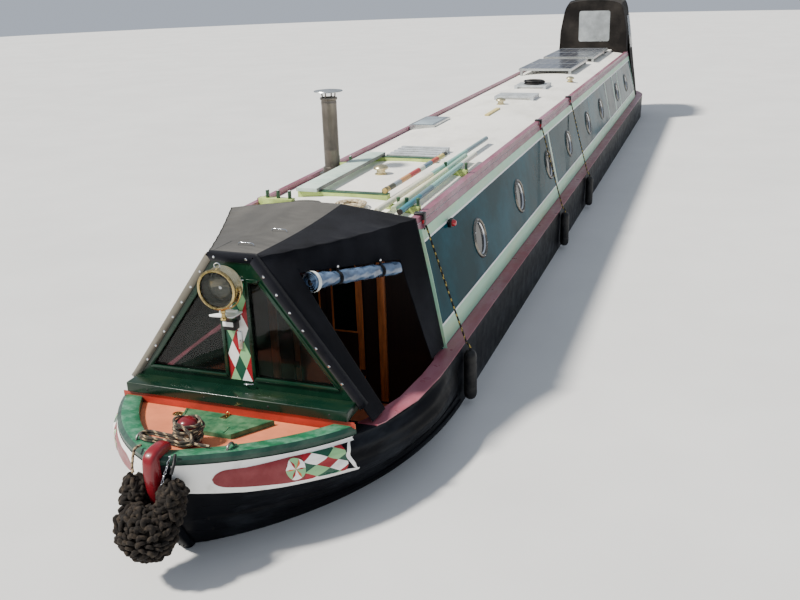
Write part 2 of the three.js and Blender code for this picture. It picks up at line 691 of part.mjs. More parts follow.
// One leaf of a pair of glazed timber doors, hinged at its outer edge and opening outwards
function doorLeaf(side, faceY, out, lowZ) {
  const [inner, outer] = [CLEAR / 2, DOOR_HALF - CLEAR - 3];
  const high = DOOR_TOP_Z - CLEAR;
  const low = lowZ + CLEAR;
  const outline = [[side * inner, low], [side * outer, low], [side * outer, high], [side * inner, high]];
  const paneLow = mix(low, high, 0.42);
  const pane = outlineHole([
    [side * (inner + 55), paneLow], [side * (outer - 55), paneLow],
    [side * (outer - 55), high - 70], [side * (inner + 55), high - 70],
  ]);
  const faces = [faceY, faceY - out * DOOR_THICK].sort((a, b) => a - b);
  const leaf = plate("y", outline, ...faces, [pane]);
  const pin = faceY + out * (HINGE_RADIUS + GAP);
  const knuckles = [0.15, 0.85].flatMap((t) => {
    const z = mix(low, high, t);
    const ys = [faceY - out * 1, faceY + out * (HINGE_RADIUS + 2)].sort((a, b) => a - b);
    const xs = [side * (outer - 40), side * HINGE_X].sort((a, b) => a - b);
    return [bar([side * HINGE_X, pin, z - 30], [side * HINGE_X, pin, z + 30], HINGE_RADIUS, 16), box(xs, ys, [z - 25, z + 25])];
  });
  return join([leaf, ...knuckles]);
}

function cabinFloor() {
  return hullSpace(CABIN_FRONT + 60, CABIN_END - 60, [INSIDE_FLOOR_Z + GAP, INSIDE_FLOOR_Z + 22], true, HULL_WALL + 8);
}

function wellDeck() {
  return hullSpace(BOARD_Y + 64, CABIN_FRONT - 4, [WELL_FLOOR_Z + GAP, WELL_FLOOR_Z + 20], false, HULL_WALL + 8);
}

// Chimney with a cap held off its crown
function chimney() {
  const [x, y] = [-540, CABIN_FRONT + 1460];
  const foot = onRoof([x - 90, x + 90], [y - 90, y + 90], roofTop(x + 90) + 12);
  const base = roofTop(x + 90) + 5;
  const pipe = turned(x, y, base, [[0, 0], [84, 0], [84, 50], [68, 56], [68, 640], [76, 644], [76, 662], [0, 662]]);
  const parts = [foot, pipe];
  for (let i = 0; i < 4; i += 1) {
    const turn = (i * Math.PI) / 2;
    const [px, py] = [x + 60 * Math.cos(turn), y + 60 * Math.sin(turn)];
    parts.push(bar([px, py, base + 655], [px, py, base + 712], 7, 8));
  }
  parts.push(turned(x, y, base + 708, [[0, 0], [128, 0], [122, 12], [0, 26]], 24));
  return join(parts);
}

// Mushroom vents: place across, place aft of the cabin front
const VENTS = [
  { x: -36, y: 1360 },
  { x: -23, y: 5770 },
  { x: 434, y: 8520 },
];

function mushroomVent({ x, y }) {
  const at = CABIN_FRONT + y;
  const base = roofTop(Math.max(Math.abs(x) - 62, 0)) + 3;
  const foot = onRoof([x - 55, x + 55], [at - 55, at + 55], base + 3);
  const head = turned(x, at, base, [[0, 0], [38, 0], [38, 42], [62, 46], [64, 58], [48, 74], [0, 82]]);
  return join([foot, head]);
}

// Pole racks: a bearer with upright pegs. Pegs are places across the roof
const RACK_TOP = roofTop(0) + 6;
const PORT_RACKS = [
  { y: 320, x: [380, 662], pegs: [496, 560, 650] },
  { y: 1650, x: [370, 662], pegs: [462, 650] },
];
const STARBOARD_RACKS = [
  { y: 325, x: [-680, -380], pegs: [-600, -507, -408] },
  { y: 1740, x: [-680, -430], pegs: [-600, -480] },
];

function poleRack({ y, x, pegs }) {
  const at = CABIN_FRONT + y;
  const bearer = onRoof(x, [at - 30, at + 30], RACK_TOP);
  const uprights = pegs.map((peg) => box([peg - 8, peg + 8], [at - 14, at + 14], [RACK_TOP - 10, RACK_TOP + 62]));
  return join([bearer, ...uprights]);
}

// Poles lashed on the port racks: near end, far end
const POLE_RADIUS = 22;
const POLES = [
  { from: [428, 40], to: [410, 2500] },
  { from: [529, 120], to: [506, 2150] },
  { from: [602, 40], to: [556, 3100] },
];

function polesOnRacks() {
  const z = RACK_TOP + POLE_RADIUS - 1;
  const poles = POLES.map(({ from, to }) => bar(
    [from[0], CABIN_FRONT + from[1], z], [to[0], CABIN_FRONT + to[1], z], POLE_RADIUS, 12,
  ));
  return join([...PORT_RACKS.map(poleRack), ...poles]);
}

// The boarding plank lies on two bearers, with a slatted board behind it
const BEARER_TOP = roofTop(0) + 32;

function gangPlank() {
  const bearers = [[540, [-425, 335]], [1975, [-425, 270]]].map(([y, x]) => (
    onRoof(x, [CABIN_FRONT + y - 38, CABIN_FRONT + y + 38], BEARER_TOP)
  ));
  const plank = box([-420, -240], [CABIN_FRONT + 470, CABIN_FRONT + 2020], [BEARER_TOP - 1, BEARER_TOP + 32]);
  return join([...bearers, plank]);
}

// A slatted board: two side strips and its cross slats
function slatBoard(x, y, topZ, slats) {
  const sides = [x[0], x[1] - 45].map((at) => onRoof([at, at + 45], y, topZ));
  const pitch = (y[1] - y[0] - 50) / (slats - 1);
  const across = [];
  for (let i = 0; i < slats; i += 1) {
    across.push(box(x, [y[0] + i * pitch, y[0] + i * pitch + 50], [topZ - 14, topZ + 10]));
  }
  return join([...sides, ...across]);
}

function barLength(y0, y1) {
  return [CABIN_FRONT + y0, CABIN_FRONT + y1];
}

// Solar panels stand on feet so that the stern hatch slides under the second
const PANEL_LOW_Z = roofTop(0) + 46;

function solarPanel(x, y, overhang) {
  const frame = box(x, y, [PANEL_LOW_Z, PANEL_LOW_Z + 35]);
  const feet = [];
  for (const fx of [x[0] + 20, x[1] - 60]) {
    for (const fy of [y[0] + 30, y[1] - overhang]) feet.push(onRoof([fx, fx + 40], [fy, fy + 40], PANEL_LOW_Z + 5));
  }
  return join([frame, ...feet]);
}

// The stern hatch slides forward on two runners
const HATCH_RUNNER_TOP = roofTop(0) + 6;
const HATCH_HALF = 392;

function hatchRunner(side) {
  const xs = [side * 350, side * 385].sort((a, b) => a - b);
  return onRoof(xs, [CABIN_END - 1060, CABIN_END], HATCH_RUNNER_TOP, -4);
}

function slideHatch() {
  const low = HATCH_RUNNER_TOP + GAP;
  const top = box([-HATCH_HALF, HATCH_HALF], [CABIN_END - 600, CABIN_END + 4], [low, low + 22]);
  const lips = [1, -1].map((side) => {
    const xs = [side * (HATCH_HALF), side * (HATCH_HALF + 12)].sort((a, b) => a - b);
    return box([xs[0] - (side > 0 ? 2 : 0), xs[1] + (side > 0 ? 0 : 2)], [CABIN_END - 600, CABIN_END + 4], [low - 14, low + 22]);
  });
  return join([top, ...lips]);
}

function navLamp(side) {
  const z = GUNWALE_Z + 765;
  const y = CABIN_FRONT + 725;
  const face = side * (cabinHalf(z - 32) + GAP);
  const xs = [face, side * (cabinHalf(z) + 62)].sort((a, b) => a - b);
  return box(xs, [y - 34, y + 34], [z - 32, z + 32]);
}

// Stern deck over the engine space, inside the gunwale
function sternDeck() {
  const inner = gunwaleRows().filter(({ outer }) => outer[1] >= COUNTER_START).map((row) => row.inner);
  const port = inner.map(([x, y]) => [x - 2, Math.max(y - 2, COUNTER_START)]);
  const outline = [[GUNWALE_INNER - 2, CABIN_END + 2], [GUNWALE_INNER - 2, COUNTER_START - 2], ...port];
  const whole = [...outline, ...outline.map(([x, y]) => [-x, y]).reverse()];
  return cut(plate("z", whole, HULL_TOP_Z + GAP, STERN_DECK_TOP), [
    bar([0, STOCK_Y, 1000], [0, STOCK_Y, 1200], STOCK_RADIUS + CLEAR, 16),
  ]);
}

function sternStud(side) {
  return turned(side * 700, 8330, STERN_DECK_TOP + GAP, [
    [0, 0], [60, 0], [60, 8], [34, 12], [30, 95], [50, 100], [50, 125], [0, 125],
  ]);
}

function engineBlock() {
  return box([-165, 165], [7480, ENGINE_END - 10], [ENGINE_FLOOR_Z + GAP, 860]);
}

function propeller() {
  const hub = bar([0, PROPELLER_Y - 45, SHAFT_Z], [0, PROPELLER_Y + 55, SHAFT_Z], 45, 16, 30);
  const shaft = bar([0, ENGINE_END - 9.5, SHAFT_Z], [0, PROPELLER_Y, SHAFT_Z], SHAFT_RADIUS, 12);
  const blades = [0, 1, 2].map((i) => {
    const outline = new THREE.Shape();
    outline.moveTo(-28, 20);
    outline.bezierCurveTo(-120, 90, -110, PROPELLER_RADIUS, 0, PROPELLER_RADIUS);
    outline.bezierCurveTo(110, PROPELLER_RADIUS, 120, 90, 28, 20);
    const blade = new THREE.ExtrudeGeometry(outline, { depth: 12, bevelEnabled: false, curveSegments: 8 });
    blade.translate(0, 0, -6).rotateY(0.5).rotateX(Math.PI / 2);
    return closed(blade.rotateY((i * Math.PI * 2) / 3).translate(0, PROPELLER_Y, SHAFT_Z));
  });
  return join([hub, shaft, ...blades]);
}

// Rudder blade, stock and the tiller that curves up and forward from it, in one turning piece
function rudder() {
  const blade = plate("x", [
    [STOCK_Y - 180, RUDDER_BOTTOM + 12], [STOCK_Y + 330, RUDDER_BOTTOM + 12],
    [STOCK_Y + 345, UXTER_Z - 60], [STOCK_Y - 150, UXTER_Z - 60],
  ], -12, 12);
  const stock = bar([0, STOCK_Y, RUDDER_BOTTOM + GAP], [0, STOCK_Y, GUNWALE_Z + 120], STOCK_RADIUS, 16);
  const swan = tube([
    [0, STOCK_Y, GUNWALE_Z + 100], [0, STOCK_Y, GUNWALE_Z + 420], [0, STOCK_Y - 40, TILLER_Z - 130],
    [0, STOCK_Y - 170, TILLER_Z - 20], [0, STOCK_Y - 420, TILLER_Z],
  ], 20, 10, 18);
  const handle = bar([0, STOCK_Y - 410, TILLER_Z], [0, STOCK_Y - 900, TILLER_Z + 12], 16, 12, 22);
  return join([blade, stock, swan, handle]);
}

// The rail round the stern that carries the hood
const TAFF_Z = GUNWALE_Z + 620;
const TAFF_HALF = 740;
const TAFF_CENTRE_Y = 7700;
const TAFF_LONG = 1240;

function taffRail() {
  const at = (turn, z) => [TAFF_HALF * Math.sin(turn), TAFF_CENTRE_Y + TAFF_LONG * Math.cos(turn), z];
  const turns = [];
  for (let i = 0; i <= 16; i += 1) turns.push(mix(-1.45, 1.45, i / 16));
  const hoop = tube(turns.map((turn) => at(turn, TAFF_Z)), 16, 8, 32);
  const posts = [-1.4, -0.75, 0.75, 1.4].map((turn) => {
    const [x, y] = at(turn, 0);
    return bar([x, y, STERN_DECK_TOP + GAP], [x, y, TAFF_Z], 14, 8);
  });
  return join([hoop, ...posts]);
}

// Canvas shells: an arch of points, each a half section from the top of the middle to the foot
function shell(sections, thick) {
  return loft(sections.map(({ y, arch }) => {
    const port = arch.map(([x, z]) => [x, y, z]);
    const outside = [...port.map(([x, , z]) => [-x, y, z]).reverse(), ...port];
    const inside = outside.map(([x, , z], i) => {
      const before = outside[Math.max(i - 1, 0)];
      const after = outside[Math.min(i + 1, outside.length - 1)];
      const run = [after[0] - before[0], after[2] - before[2]];
      const size = Math.hypot(...run) || 1;
      const foot = i === 0 || i === outside.length - 1;
      return [x + (run[1] / size) * thick, y, foot ? z : z - (run[0] / size) * thick];
    });
    return [...outside, ...inside.reverse()];
  }));
}

// The canopy over the well deck, from behind the cratch board to the cabin roof, open to port
const CANOPY_THICK = 8;
const CANOPY_SAG = 18;
const ROLL_RADIUS = 46;
const ROLL_FRONT_Z = GUNWALE_Z + 845;
const ROLL_BACK_Z = GUNWALE_Z + 705;
const ROLL_DROP = ROLL_RADIUS * 1.015 + 2;
const CANOPY_FOOT = GUNWALE_Z + 26;

function canopySection(t) {
  const y = mix(BOARD_Y + BOARD_THICK + GAP, CABIN_FRONT - GAP, t);
  const sag = CANOPY_SAG * Math.sin(Math.PI * t);
  return {
    y,
    arch: [
      [mix(150, 170, t), mix(BOARD_TOP_Z + 4, GUNWALE_Z + 1058, t) - sag],
      [mix(175, 752, t), mix(BOARD_TOP_Z - 6, GUNWALE_Z + 985, t) - sag],
      [mix(500, 846, t) - sag / 2, GUNWALE_Z + 560],
      [mix(862, 944, t), mix(CANOPY_FOOT + 10, CANOPY_FOOT, t)],
    ],
  };
}

function cratchCanopy() {
  const walls = shell([0, 0.28, 0.53, 0.77, 1].map(canopySection), CANOPY_THICK);
  const opening = plate("x", [
    [BOARD_Y + 230, GUNWALE_Z - 50], [CABIN_FRONT - 250, GUNWALE_Z - 50],
    [CABIN_FRONT - 250, ROLL_BACK_Z + ROLL_DROP], [BOARD_Y + 230, ROLL_FRONT_Z + ROLL_DROP],
  ], 100, 1300);
  return cut(walls, [opening]);
}

// The rolled up side curtain hangs under the top of the opening
function curtainRoll() {
  return bar([394, BOARD_Y + 262, ROLL_FRONT_Z - 2.8], [688, CABIN_FRONT - 290, ROLL_BACK_Z + 7.2], ROLL_RADIUS, 14);
}

// The pram hood over the stern deck: place, half width at its waist, at its foot, height of its top
const HOOD_TOP_ROWS = [
  { y: CABIN_FRONT + 14060, waist: 690, foot: 712, low: ROOF_EDGE_Z + 51, top: GUNWALE_Z + 2010 },
  { y: CABIN_FRONT + 14320, waist: 690, foot: 712, low: ROOF_EDGE_Z + 51, top: GUNWALE_Z + 2060 },
];
const HOOD_ROWS = [
  { y: CABIN_FRONT + 14303, waist: 690, foot: 912, low: STERN_DECK_TOP + GAP, top: GUNWALE_Z + 2060 },
  { y: CABIN_FRONT + 14900, waist: 690, foot: 900, low: STERN_DECK_TOP + GAP, top: GUNWALE_Z + 2070 },
  { y: CABIN_FRONT + 15430, waist: 610, foot: 745, low: STERN_DECK_TOP + GAP, top: GUNWALE_Z + 2030 },
  { y: CABIN_FRONT + 15700, waist: 500, foot: 580, low: STERN_DECK_TOP + GAP, top: GUNWALE_Z + 1960 },
  { y: CABIN_FRONT + 15850, waist: 400, foot: 420, low: STERN_DECK_TOP + GAP, top: GUNWALE_Z + 1880 },
];
const HOOD_THICK = 10;
const HOOD_WAIST_Z = GUNWALE_Z + 1400;

function hoodArch({ waist, foot, low, top }) {
  return [
    [0.25 * waist, top], [0.66 * waist, top - 40], [0.86 * waist, top - 150], [waist, HOOD_WAIST_Z],
    [mix(waist, foot, 0.55), mix(HOOD_WAIST_Z, low, 0.55)], [foot, low],
  ];
}

function hoodShell(rows) {
  return shell(rows.map((row) => ({ y: row.y, arch: hoodArch(row) })), HOOD_THICK);
}

// The front panel stands on the roof between the handrails, open over the hatch
function hoodFront(row) {
  const [inner, foot] = [ROOF_HALF - RAIL_WIDTH - 9, row.foot - HOOD_THICK / 2];
  const arch = hoodArch(row).map(([x, z]) => [x - HOOD_THICK / 2, z - HOOD_THICK / 2]).slice(0, -1);
  const port = [...arch, [foot, row.low], [inner, row.low]];
  const outline = [...port.map(([x, z]) => [-x, z]).reverse(), ...port, ...roofLine(-inner, inner, 2).reverse()];
  const overHatch = box([-HATCH_HALF - 28, HATCH_HALF + 28], [row.y - 20, row.y + 30], [1990, HATCH_RUNNER_TOP + 40]);
  return cut(plate("y", outline, row.y, row.y + HOOD_THICK), [overHatch]);
}

function hoodBack(row) {
  const port = hoodArch(row).map(([x, z]) => [x - HOOD_THICK / 2, z - HOOD_THICK / 2]);
  port[port.length - 1][1] = row.low;
  return plate("y", [...port, ...port.map(([x, z]) => [-x, z]).reverse()], row.y - HOOD_THICK, row.y);
}

function pramHood() {
  const [front, back] = [HOOD_TOP_ROWS[0], HOOD_ROWS[HOOD_ROWS.length - 1]];
  return join([hoodShell(HOOD_TOP_ROWS), hoodShell(HOOD_ROWS), hoodFront(front), hoodBack(back)]);
}

// The rope fender at the stem: two lobes beside the post over a thick body
function blob(x, y, z, size) {
  const ball = new THREE.SphereGeometry(1, 14, 9);
  return closed(ball.rotateX(Math.PI / 2).scale(...size).translate(x, y, z));
}

function bowFender() {
  const lobes = [1, -1].map((side) => blob(side * 112, STEM_Y - 12, GUNWALE_Z + 35, [66, 62, 92]));
  const necks = [1, -1].map((side) => bar(
    [side * 105, STEM_Y - 34, GUNWALE_Z - 20], [side * 70, STEM_Y - 114, GUNWALE_Z - 150], 58, 10,
  ));
  return join([blob(0, STEM_Y - 126, GUNWALE_Z - 185, [165, 112, 165]), ...lobes, ...necks]);
}

// Side fenders hang outside the port side from hooks on the handrail
const FENDERS = [{ y: 190, foot: 130 }, { y: 4600, foot: 4320 }, { y: 6700, foot: 6300 }];
const FENDER_RADIUS = 50;
const FENDER_X = TOP_HALF + FENDER_RADIUS + 7;
const FENDER_TOP = GUNWALE_Z - 40;
const FENDER_LONG = 400;
const LANYARD_RADIUS = 7;

function fenderHook({ y }) {
  const at = CABIN_FRONT + y;
  const outer = ROOF_HALF - 4;
  const top = box([outer - 50, outer + 24], [at - 22, at + 22], [ROOF_EDGE_Z + RAIL_HEIGHT - 1, ROOF_EDGE_Z + RAIL_HEIGHT + 16]);
  const drop = box([outer + 6, outer + 24], [at - 22, at + 22], [ROOF_EDGE_Z - 45, ROOF_EDGE_Z + RAIL_HEIGHT + 5]);
  return join([top, drop]);
}

function lanyardRoute({ y, foot }) {
  const [at, end] = [CABIN_FRONT + y, CABIN_FRONT + foot];
  const hookX = ROOF_HALF + 20 + LANYARD_RADIUS + GAP;
  const edgeX = TOP_HALF + GUNWALE_LIP + LANYARD_RADIUS + 2;
  return [
    [hookX, at, ROOF_EDGE_Z - 30], [mix(hookX, edgeX, 0.5), mix(at, end, 0.5), mix(ROOF_EDGE_Z, GUNWALE_Z, 0.5)],
    [edgeX - 2, end, GUNWALE_Z + 60], [edgeX + 14, end, GUNWALE_Z + 20],
    [FENDER_X, end, FENDER_TOP + 26], [FENDER_X, end, FENDER_TOP + 1],
  ];
}

function sideFender({ foot }) {
  const at = CABIN_FRONT + foot;
  return turned(FENDER_X, at, FENDER_TOP - FENDER_LONG, [
    [0, 0], [22, 2], [44, 22], [FENDER_RADIUS, 55], [FENDER_RADIUS, FENDER_LONG - 55],
    [44, FENDER_LONG - 22], [22, FENDER_LONG - 2], [0, FENDER_LONG],
  ], 12);
}

// Coils of rope: round the bow stud, and on the front of the roof
function coilRing(x, y, z, inner, outer, height) {
  return turned(x, y, z, [
    [inner, 0], [outer - 10, 0], [outer, height * 0.3], [outer, height * 0.7], [outer - 10, height],
    [inner, height], [inner, 0],
  ], 20);
}

function bowRope() {
  return coilRing(0, STUD_Y, deckTop(STUD_Y - 70) + 16 + GAP, 44, 108, 62);
}

function roofRope() {
  const [x, y] = [150, CABIN_FRONT + 215];
  return coilRing(x, y, roofTop(0) + GAP, 45, 115, 40);
}

piece("hull_shell", hullShell(), BLACK);
piece("base_plate", basePlate(), BLACK);
piece("gunwale", gunwale(), MAROON);
piece("stem_post", stemPost(), RED);
piece("bow_rim", bowRim(), GREEN);
piece("fore_deck", foreDeck(), SALMON);
piece("locker_lid", lockerLid(), GREEN);
piece("bow_stud", bowStud(), RED);
piece("cratch_sill", cratchSill(), DARK_GREEN);
piece("cratch_board", cratchBoard(), DARK_GREEN);
piece("headlamp", headlamp(), BRASS);
piece("horn", horn(), STEEL);
piece("well_deck", wellDeck(), SALMON);
piece("front_bulkhead", frontBulkhead(), WOOD);
piece("front_door_port", doorLeaf(1, CABIN_FRONT, -1, WELL_FLOOR_Z + 70), WOOD);
piece("front_door_starboard", doorLeaf(-1, CABIN_FRONT, -1, WELL_FLOOR_Z + 70), WOOD);
piece("cabin_side_port", cabinSide(1), TEAL);
piece("cabin_side_starboard", cabinSide(-1), TEAL);
piece("cabin_roof", cabinRoof(), CREAM);
piece("handrail_port", join([handrail(1), ...FENDERS.map(fenderHook)]), MAROON);
piece("handrail_starboard", join([handrail(-1), ...STARBOARD_RACKS.map(poleRack)]), MAROON);
piece("cabin_floor", cabinFloor(), WOOD);
piece("aft_bulkhead", aftBulkhead(), TEAL);
piece("rear_door_port", doorLeaf(1, CABIN_END, 1, GUNWALE_Z + 20), TEAL);
piece("rear_door_starboard", doorLeaf(-1, CABIN_END, 1, GUNWALE_Z + 20), TEAL);
piece("slide_hatch", slideHatch(), CREAM);
piece("chimney", chimney(), BLACK);
VENTS.forEach((vent, i) => piece(`roof_vent_${i + 1}`, mushroomVent(vent), BRASS));
piece("poles_and_racks", polesOnRacks(), PALE_GREEN);
piece("gang_plank", gangPlank(), PALE_GREEN);
piece("slat_board_front", slatBoard([-235, 250], barLength(2030, 2500), BEARER_TOP - 4, 5), STEEL);
piece("slat_board_middle", slatBoard([-230, 310], barLength(6250, 6650), BEARER_TOP, 5), STEEL);
piece("slat_board_rear", slatBoard([-220, 250], barLength(7450, 7900), BEARER_TOP, 5), STEEL);
piece("roof_glass_hatch", onRoof([-662, -360], barLength(3940, 4580), roofTop(360) + 26), GLASS);
piece("solar_panel_front", solarPanel([-600, 300], barLength(9500, 11300), 70), GLASS);
piece("solar_panel_rear", solarPanel([-600, 370], barLength(11700, 13700), 550), GLASS);
piece("nav_lamp_port", navLamp(1), RED);
piece("nav_lamp_starboard", navLamp(-1), GREEN);
piece("stern_deck", sternDeck(), BLACK);
piece("stern_stud_port", sternStud(1), BLACK);
piece("stern_stud_starboard", sternStud(-1), BLACK);
piece("engine_block", engineBlock(), STEEL);
piece("propeller", propeller(), BRASS);
piece("rudder", rudder(), BLACK);
piece("taff_rail", taffRail(), STEEL);
piece("cratch_canopy", cratchCanopy(), CANVAS);
piece("curtain_roll", curtainRoll(), CANVAS);
piece("pram_hood", pramHood(), CANVAS);
piece("bow_fender", bowFender(), ROPE);
FENDERS.forEach((row, i) => piece(`side_fender_${i + 1}`, sideFender(row), BLACK));
FENDERS.forEach((row, i) => piece(`fender_rope_${i + 1}`, tube(lanyardRoute(row), LANYARD_RADIUS, 8, 40), ROPE));
piece("bow_rope", bowRope(), ROPE);
piece("roof_rope", roofRope(), ROPE);

export default boat;
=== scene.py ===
"""The looks of a 60 foot narrowboat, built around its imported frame. Metres, X to port, Y to the stern, Z up."""
import math
import random

import bmesh
import bpy
from mathutils import Matrix, Vector


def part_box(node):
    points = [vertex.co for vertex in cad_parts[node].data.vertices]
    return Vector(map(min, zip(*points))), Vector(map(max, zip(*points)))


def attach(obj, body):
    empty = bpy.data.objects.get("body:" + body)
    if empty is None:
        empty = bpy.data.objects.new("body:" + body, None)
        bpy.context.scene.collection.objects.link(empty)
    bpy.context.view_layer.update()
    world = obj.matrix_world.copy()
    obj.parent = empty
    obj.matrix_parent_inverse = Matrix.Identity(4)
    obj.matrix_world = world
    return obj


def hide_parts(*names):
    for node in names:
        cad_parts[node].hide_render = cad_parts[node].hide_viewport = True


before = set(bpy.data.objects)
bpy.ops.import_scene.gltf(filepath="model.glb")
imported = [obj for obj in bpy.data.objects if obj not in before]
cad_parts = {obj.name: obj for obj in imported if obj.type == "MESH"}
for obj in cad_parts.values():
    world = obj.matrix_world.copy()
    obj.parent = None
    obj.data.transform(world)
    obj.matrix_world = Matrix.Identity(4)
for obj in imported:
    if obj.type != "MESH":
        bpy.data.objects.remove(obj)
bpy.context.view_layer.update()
random.seed(7)

SIDES = ((1, "port"), (-1, "starboard"))
UP, AFT = (0, 0, 1), (0, 1, 0)

# ---- The camera of the photograph ----
PHOTO_WIDTH, SENSOR_WIDTH, FOCAL_PX = 800, 36, 883.65
YAW, PITCH, ROLL = -0.3518, 0.3500, -0.0329
EYE = Vector((2.706, -12.589, 3.669))


def make_camera():
    forward = Vector((math.sin(YAW) * math.cos(PITCH), math.cos(YAW) * math.cos(PITCH), -math.sin(PITCH)))
    right = forward.cross(Vector(UP)).normalized()
    up = right.cross(forward)
    across = right * math.cos(ROLL) + up * math.sin(ROLL)
    upward = up * math.cos(ROLL) - right * math.sin(ROLL)
    data = bpy.data.cameras.new("camera")
    data.sensor_width = SENSOR_WIDTH
    data.lens = FOCAL_PX / PHOTO_WIDTH * SENSOR_WIDTH
    data.clip_end = 200
    camera = bpy.data.objects.new("camera", data)
    camera.matrix_world = Matrix.Translation(EYE) @ Matrix((across, upward, -forward)).transposed().to_4x4()
    bpy.context.scene.collection.objects.link(camera)
    bpy.context.scene.camera = camera


make_camera()


# ---- Small sums ----
def mix(a, b, t):
    return a + (b - a) * t


def smooth(t):
    t = min(max(t, 0), 1)
    return t * t * (3 - 2 * t)


def table(rows, at, ease=False):
    """The value of a rising table at a place, held at its ends."""
    if at <= rows[0][0]:
        return rows[0][1]
    for (a, low), (b, high) in zip(rows, rows[1:]):
        if at <= b:
            t = (at - a) / (b - a)
            return mix(low, high, smooth(t) if ease else t)
    return rows[-1][1]


def catmull(points, per):
    """A smooth line through the points, with so many steps to each span."""
    pts = [Vector(p) for p in points]
    pts = [pts[0] * 2 - pts[1]] + pts + [pts[-1] * 2 - pts[-2]]
    out = []
    for i in range(1, len(pts) - 2):
        a, b, c, d = pts[i - 1:i + 3]
        for t in (k / per for k in range(per)):
            out.append(0.5 * (2 * b + (c - a) * t + (2 * a - 5 * b + 4 * c - d) * t * t
                              + (3 * b - a - 3 * c + d) * t ** 3))
    out.append(pts[-2].copy())
    return out


def arc(centre, a, b, steps, turn=math.tau):
    """Points along an ellipse round a centre, from half axis a towards half axis b."""
    centre, a, b = Vector(centre), Vector(a), Vector(b)
    return [centre + a * math.cos(t) + b * math.sin(t) for t in (i / steps * turn for i in range(steps + 1))]


# ---- Materials ----
# What a surface has where its row gives less: the colour, share, scale and stretch of its patches (dirt, and on some
# surfaces painted reflection, on the curtain painted shade), and bump's strength, scale and depth
DIRT_AND_PAINTED_LIGHT = (None, 0.25, 3.0, (1, 1, 1))
BUMP = (0.15, 90, 0.001)


def linear(r, g, b):
    return tuple((c / 255 / 12.92) if c <= 10 else ((c / 255 + 0.055) / 1.055) ** 2.4 for c in (r, g, b)) + (1,)


def shade(color, by):
    return tuple(min(c * by, 1) for c in color[:3]) + (1,)


class Tree:
    """A material's node tree, with one line to add each node."""

    def __init__(self, name):
        self.material = bpy.data.materials.new(name)
        self.material.use_nodes = True
        self.nodes = self.material.node_tree.nodes
        self.links = self.material.node_tree.links
        self.shader = self.nodes["Principled BSDF"]
        self.where = self.nodes.new("ShaderNodeTexCoord").outputs["Object"]

    def fill(self, node, values):
        """Set a node's inputs. A value is a number, a colour, or another node's output."""
        for key, value in values.items():
            if isinstance(value, bpy.types.NodeSocket):
                self.links.new(value, node.inputs[key])
            else:
                node.inputs[key].default_value = value

    def add(self, kind, values, **settings):
        node = self.nodes.new("ShaderNode" + kind)
        for key, value in settings.items():
            setattr(node, key, value)
        self.fill(node, values)
        return node.outputs

    def noise(self, scale, detail=4, stretch=None, rough=0.55, distortion=0):
        where = self.add("Mapping", {"Vector": self.where, "Scale": stretch})["Vector"] if stretch else self.where
        return self.add("TexNoise", {"Vector": where, "Scale": scale, "Detail": detail, "Roughness": rough,
                                     "Distortion": distortion})["Fac"]

    def ramp(self, value, low, high, start=0.0, end=1.0):
        return self.add("MapRange", {"Value": value, "From Min": low, "From Max": high, "To Min": start,
                                     "To Max": end})["Result"]

    def blend(self, share, a, b):
        return self.add("Mix", {0: share, 6: a, 7: b}, data_type="RGBA")[2]

    def math(self, kind, a, b):
        return self.add("Math", {0: a, 1: b}, operation=kind)[0]

    def bump(self, height, strength, distance):
        values = {"Height": height, "Strength": strength, "Distance": distance}
        self.fill(self.shader, {"Normal": self.add("Bump", values)["Normal"]})

    def dress(self, color, rough, **more):
        """Give the shader its values, and return the material. An underscore in a name stands for a space."""
        self.fill(self.shader, {"Base Color": color, "Roughness": rough,
                                **{key.replace("_", " "): value for key, value in more.items()}})
        return self.material


def surface(name, rgb, rough=0.5, metal=0.0, coat=0.0, vary=0.18, scale=2.5, dirt_and_painted_light=(), wear=(), bump=(), sheen=0.0,
            gloss=0.35):
    """A painted, metal or cloth surface: two tones of its colour, patches (dirt, and on some surfaces painted
    reflection and painted shade), fine wear and a fine bump.
    """
    color = linear(*rgb)
    tree = Tree(name)
    paint = tree.blend(tree.ramp(tree.noise(scale, 5), 0.3, 0.7), shade(color, 1 - vary), shade(color, 1 + vary))
    # Patches in a second colour: dirt on most surfaces, painted sky reflection on the teal, gunwale, handrail and
    # porthole glass, painted crease shade on the curtain
    if dirt_and_painted_light:
        dirt_and_painted_light_rgb, share, dirt_and_painted_light_scale, stretch = (*dirt_and_painted_light, *DIRT_AND_PAINTED_LIGHT[len(dirt_and_painted_light):])
        mask = tree.ramp(tree.noise(dirt_and_painted_light_scale, 7, stretch, 0.65), 0.62 - share * 0.5, 0.78 - share * 0.3)
        paint = tree.blend(mask, paint, tree.blend(0.55, paint, linear(*dirt_and_painted_light_rgb)))
    if wear:
        wear_rgb, share = wear
        paint = tree.blend(tree.ramp(tree.noise(26, 8, None, 0.75), 0.70 - share, 0.74 - share), paint,
                           linear(*wear_rgb))
    strength, fine, depth = (*bump, *BUMP[len(bump):])
    tree.bump(tree.noise(fine, 3), strength, depth)
    patches = tree.ramp(tree.noise(scale * 4, 4), 0.3, 0.7, max(rough - 0.08, 0.02), min(rough + 0.1, 1))
    return tree.dress(paint, patches, Metallic=metal, Coat_Weight=coat, Coat_Roughness=0.06, Sheen_Weight=sheen,
                      Specular_IOR_Level=0.5 if metal else gloss)


def clear(name, rgb, rough=0.03, cover=0.3, gloss=0.5):
    """Glass or clear sheet: mostly see-through, with a faint film of dust. Cover is how much it hides."""
    color = linear(*rgb)
    tree = Tree(name)
    film = tree.ramp(tree.noise(3, 5), 0.35, 0.75)
    hidden = tree.ramp(tree.noise(6, 6), 0.3, 0.75, cover * 0.85, min(cover * 1.25, 1))
    return tree.dress(tree.blend(film, color, shade(color, 1.5)), rough, Alpha=hidden, Specular_IOR_Level=gloss)


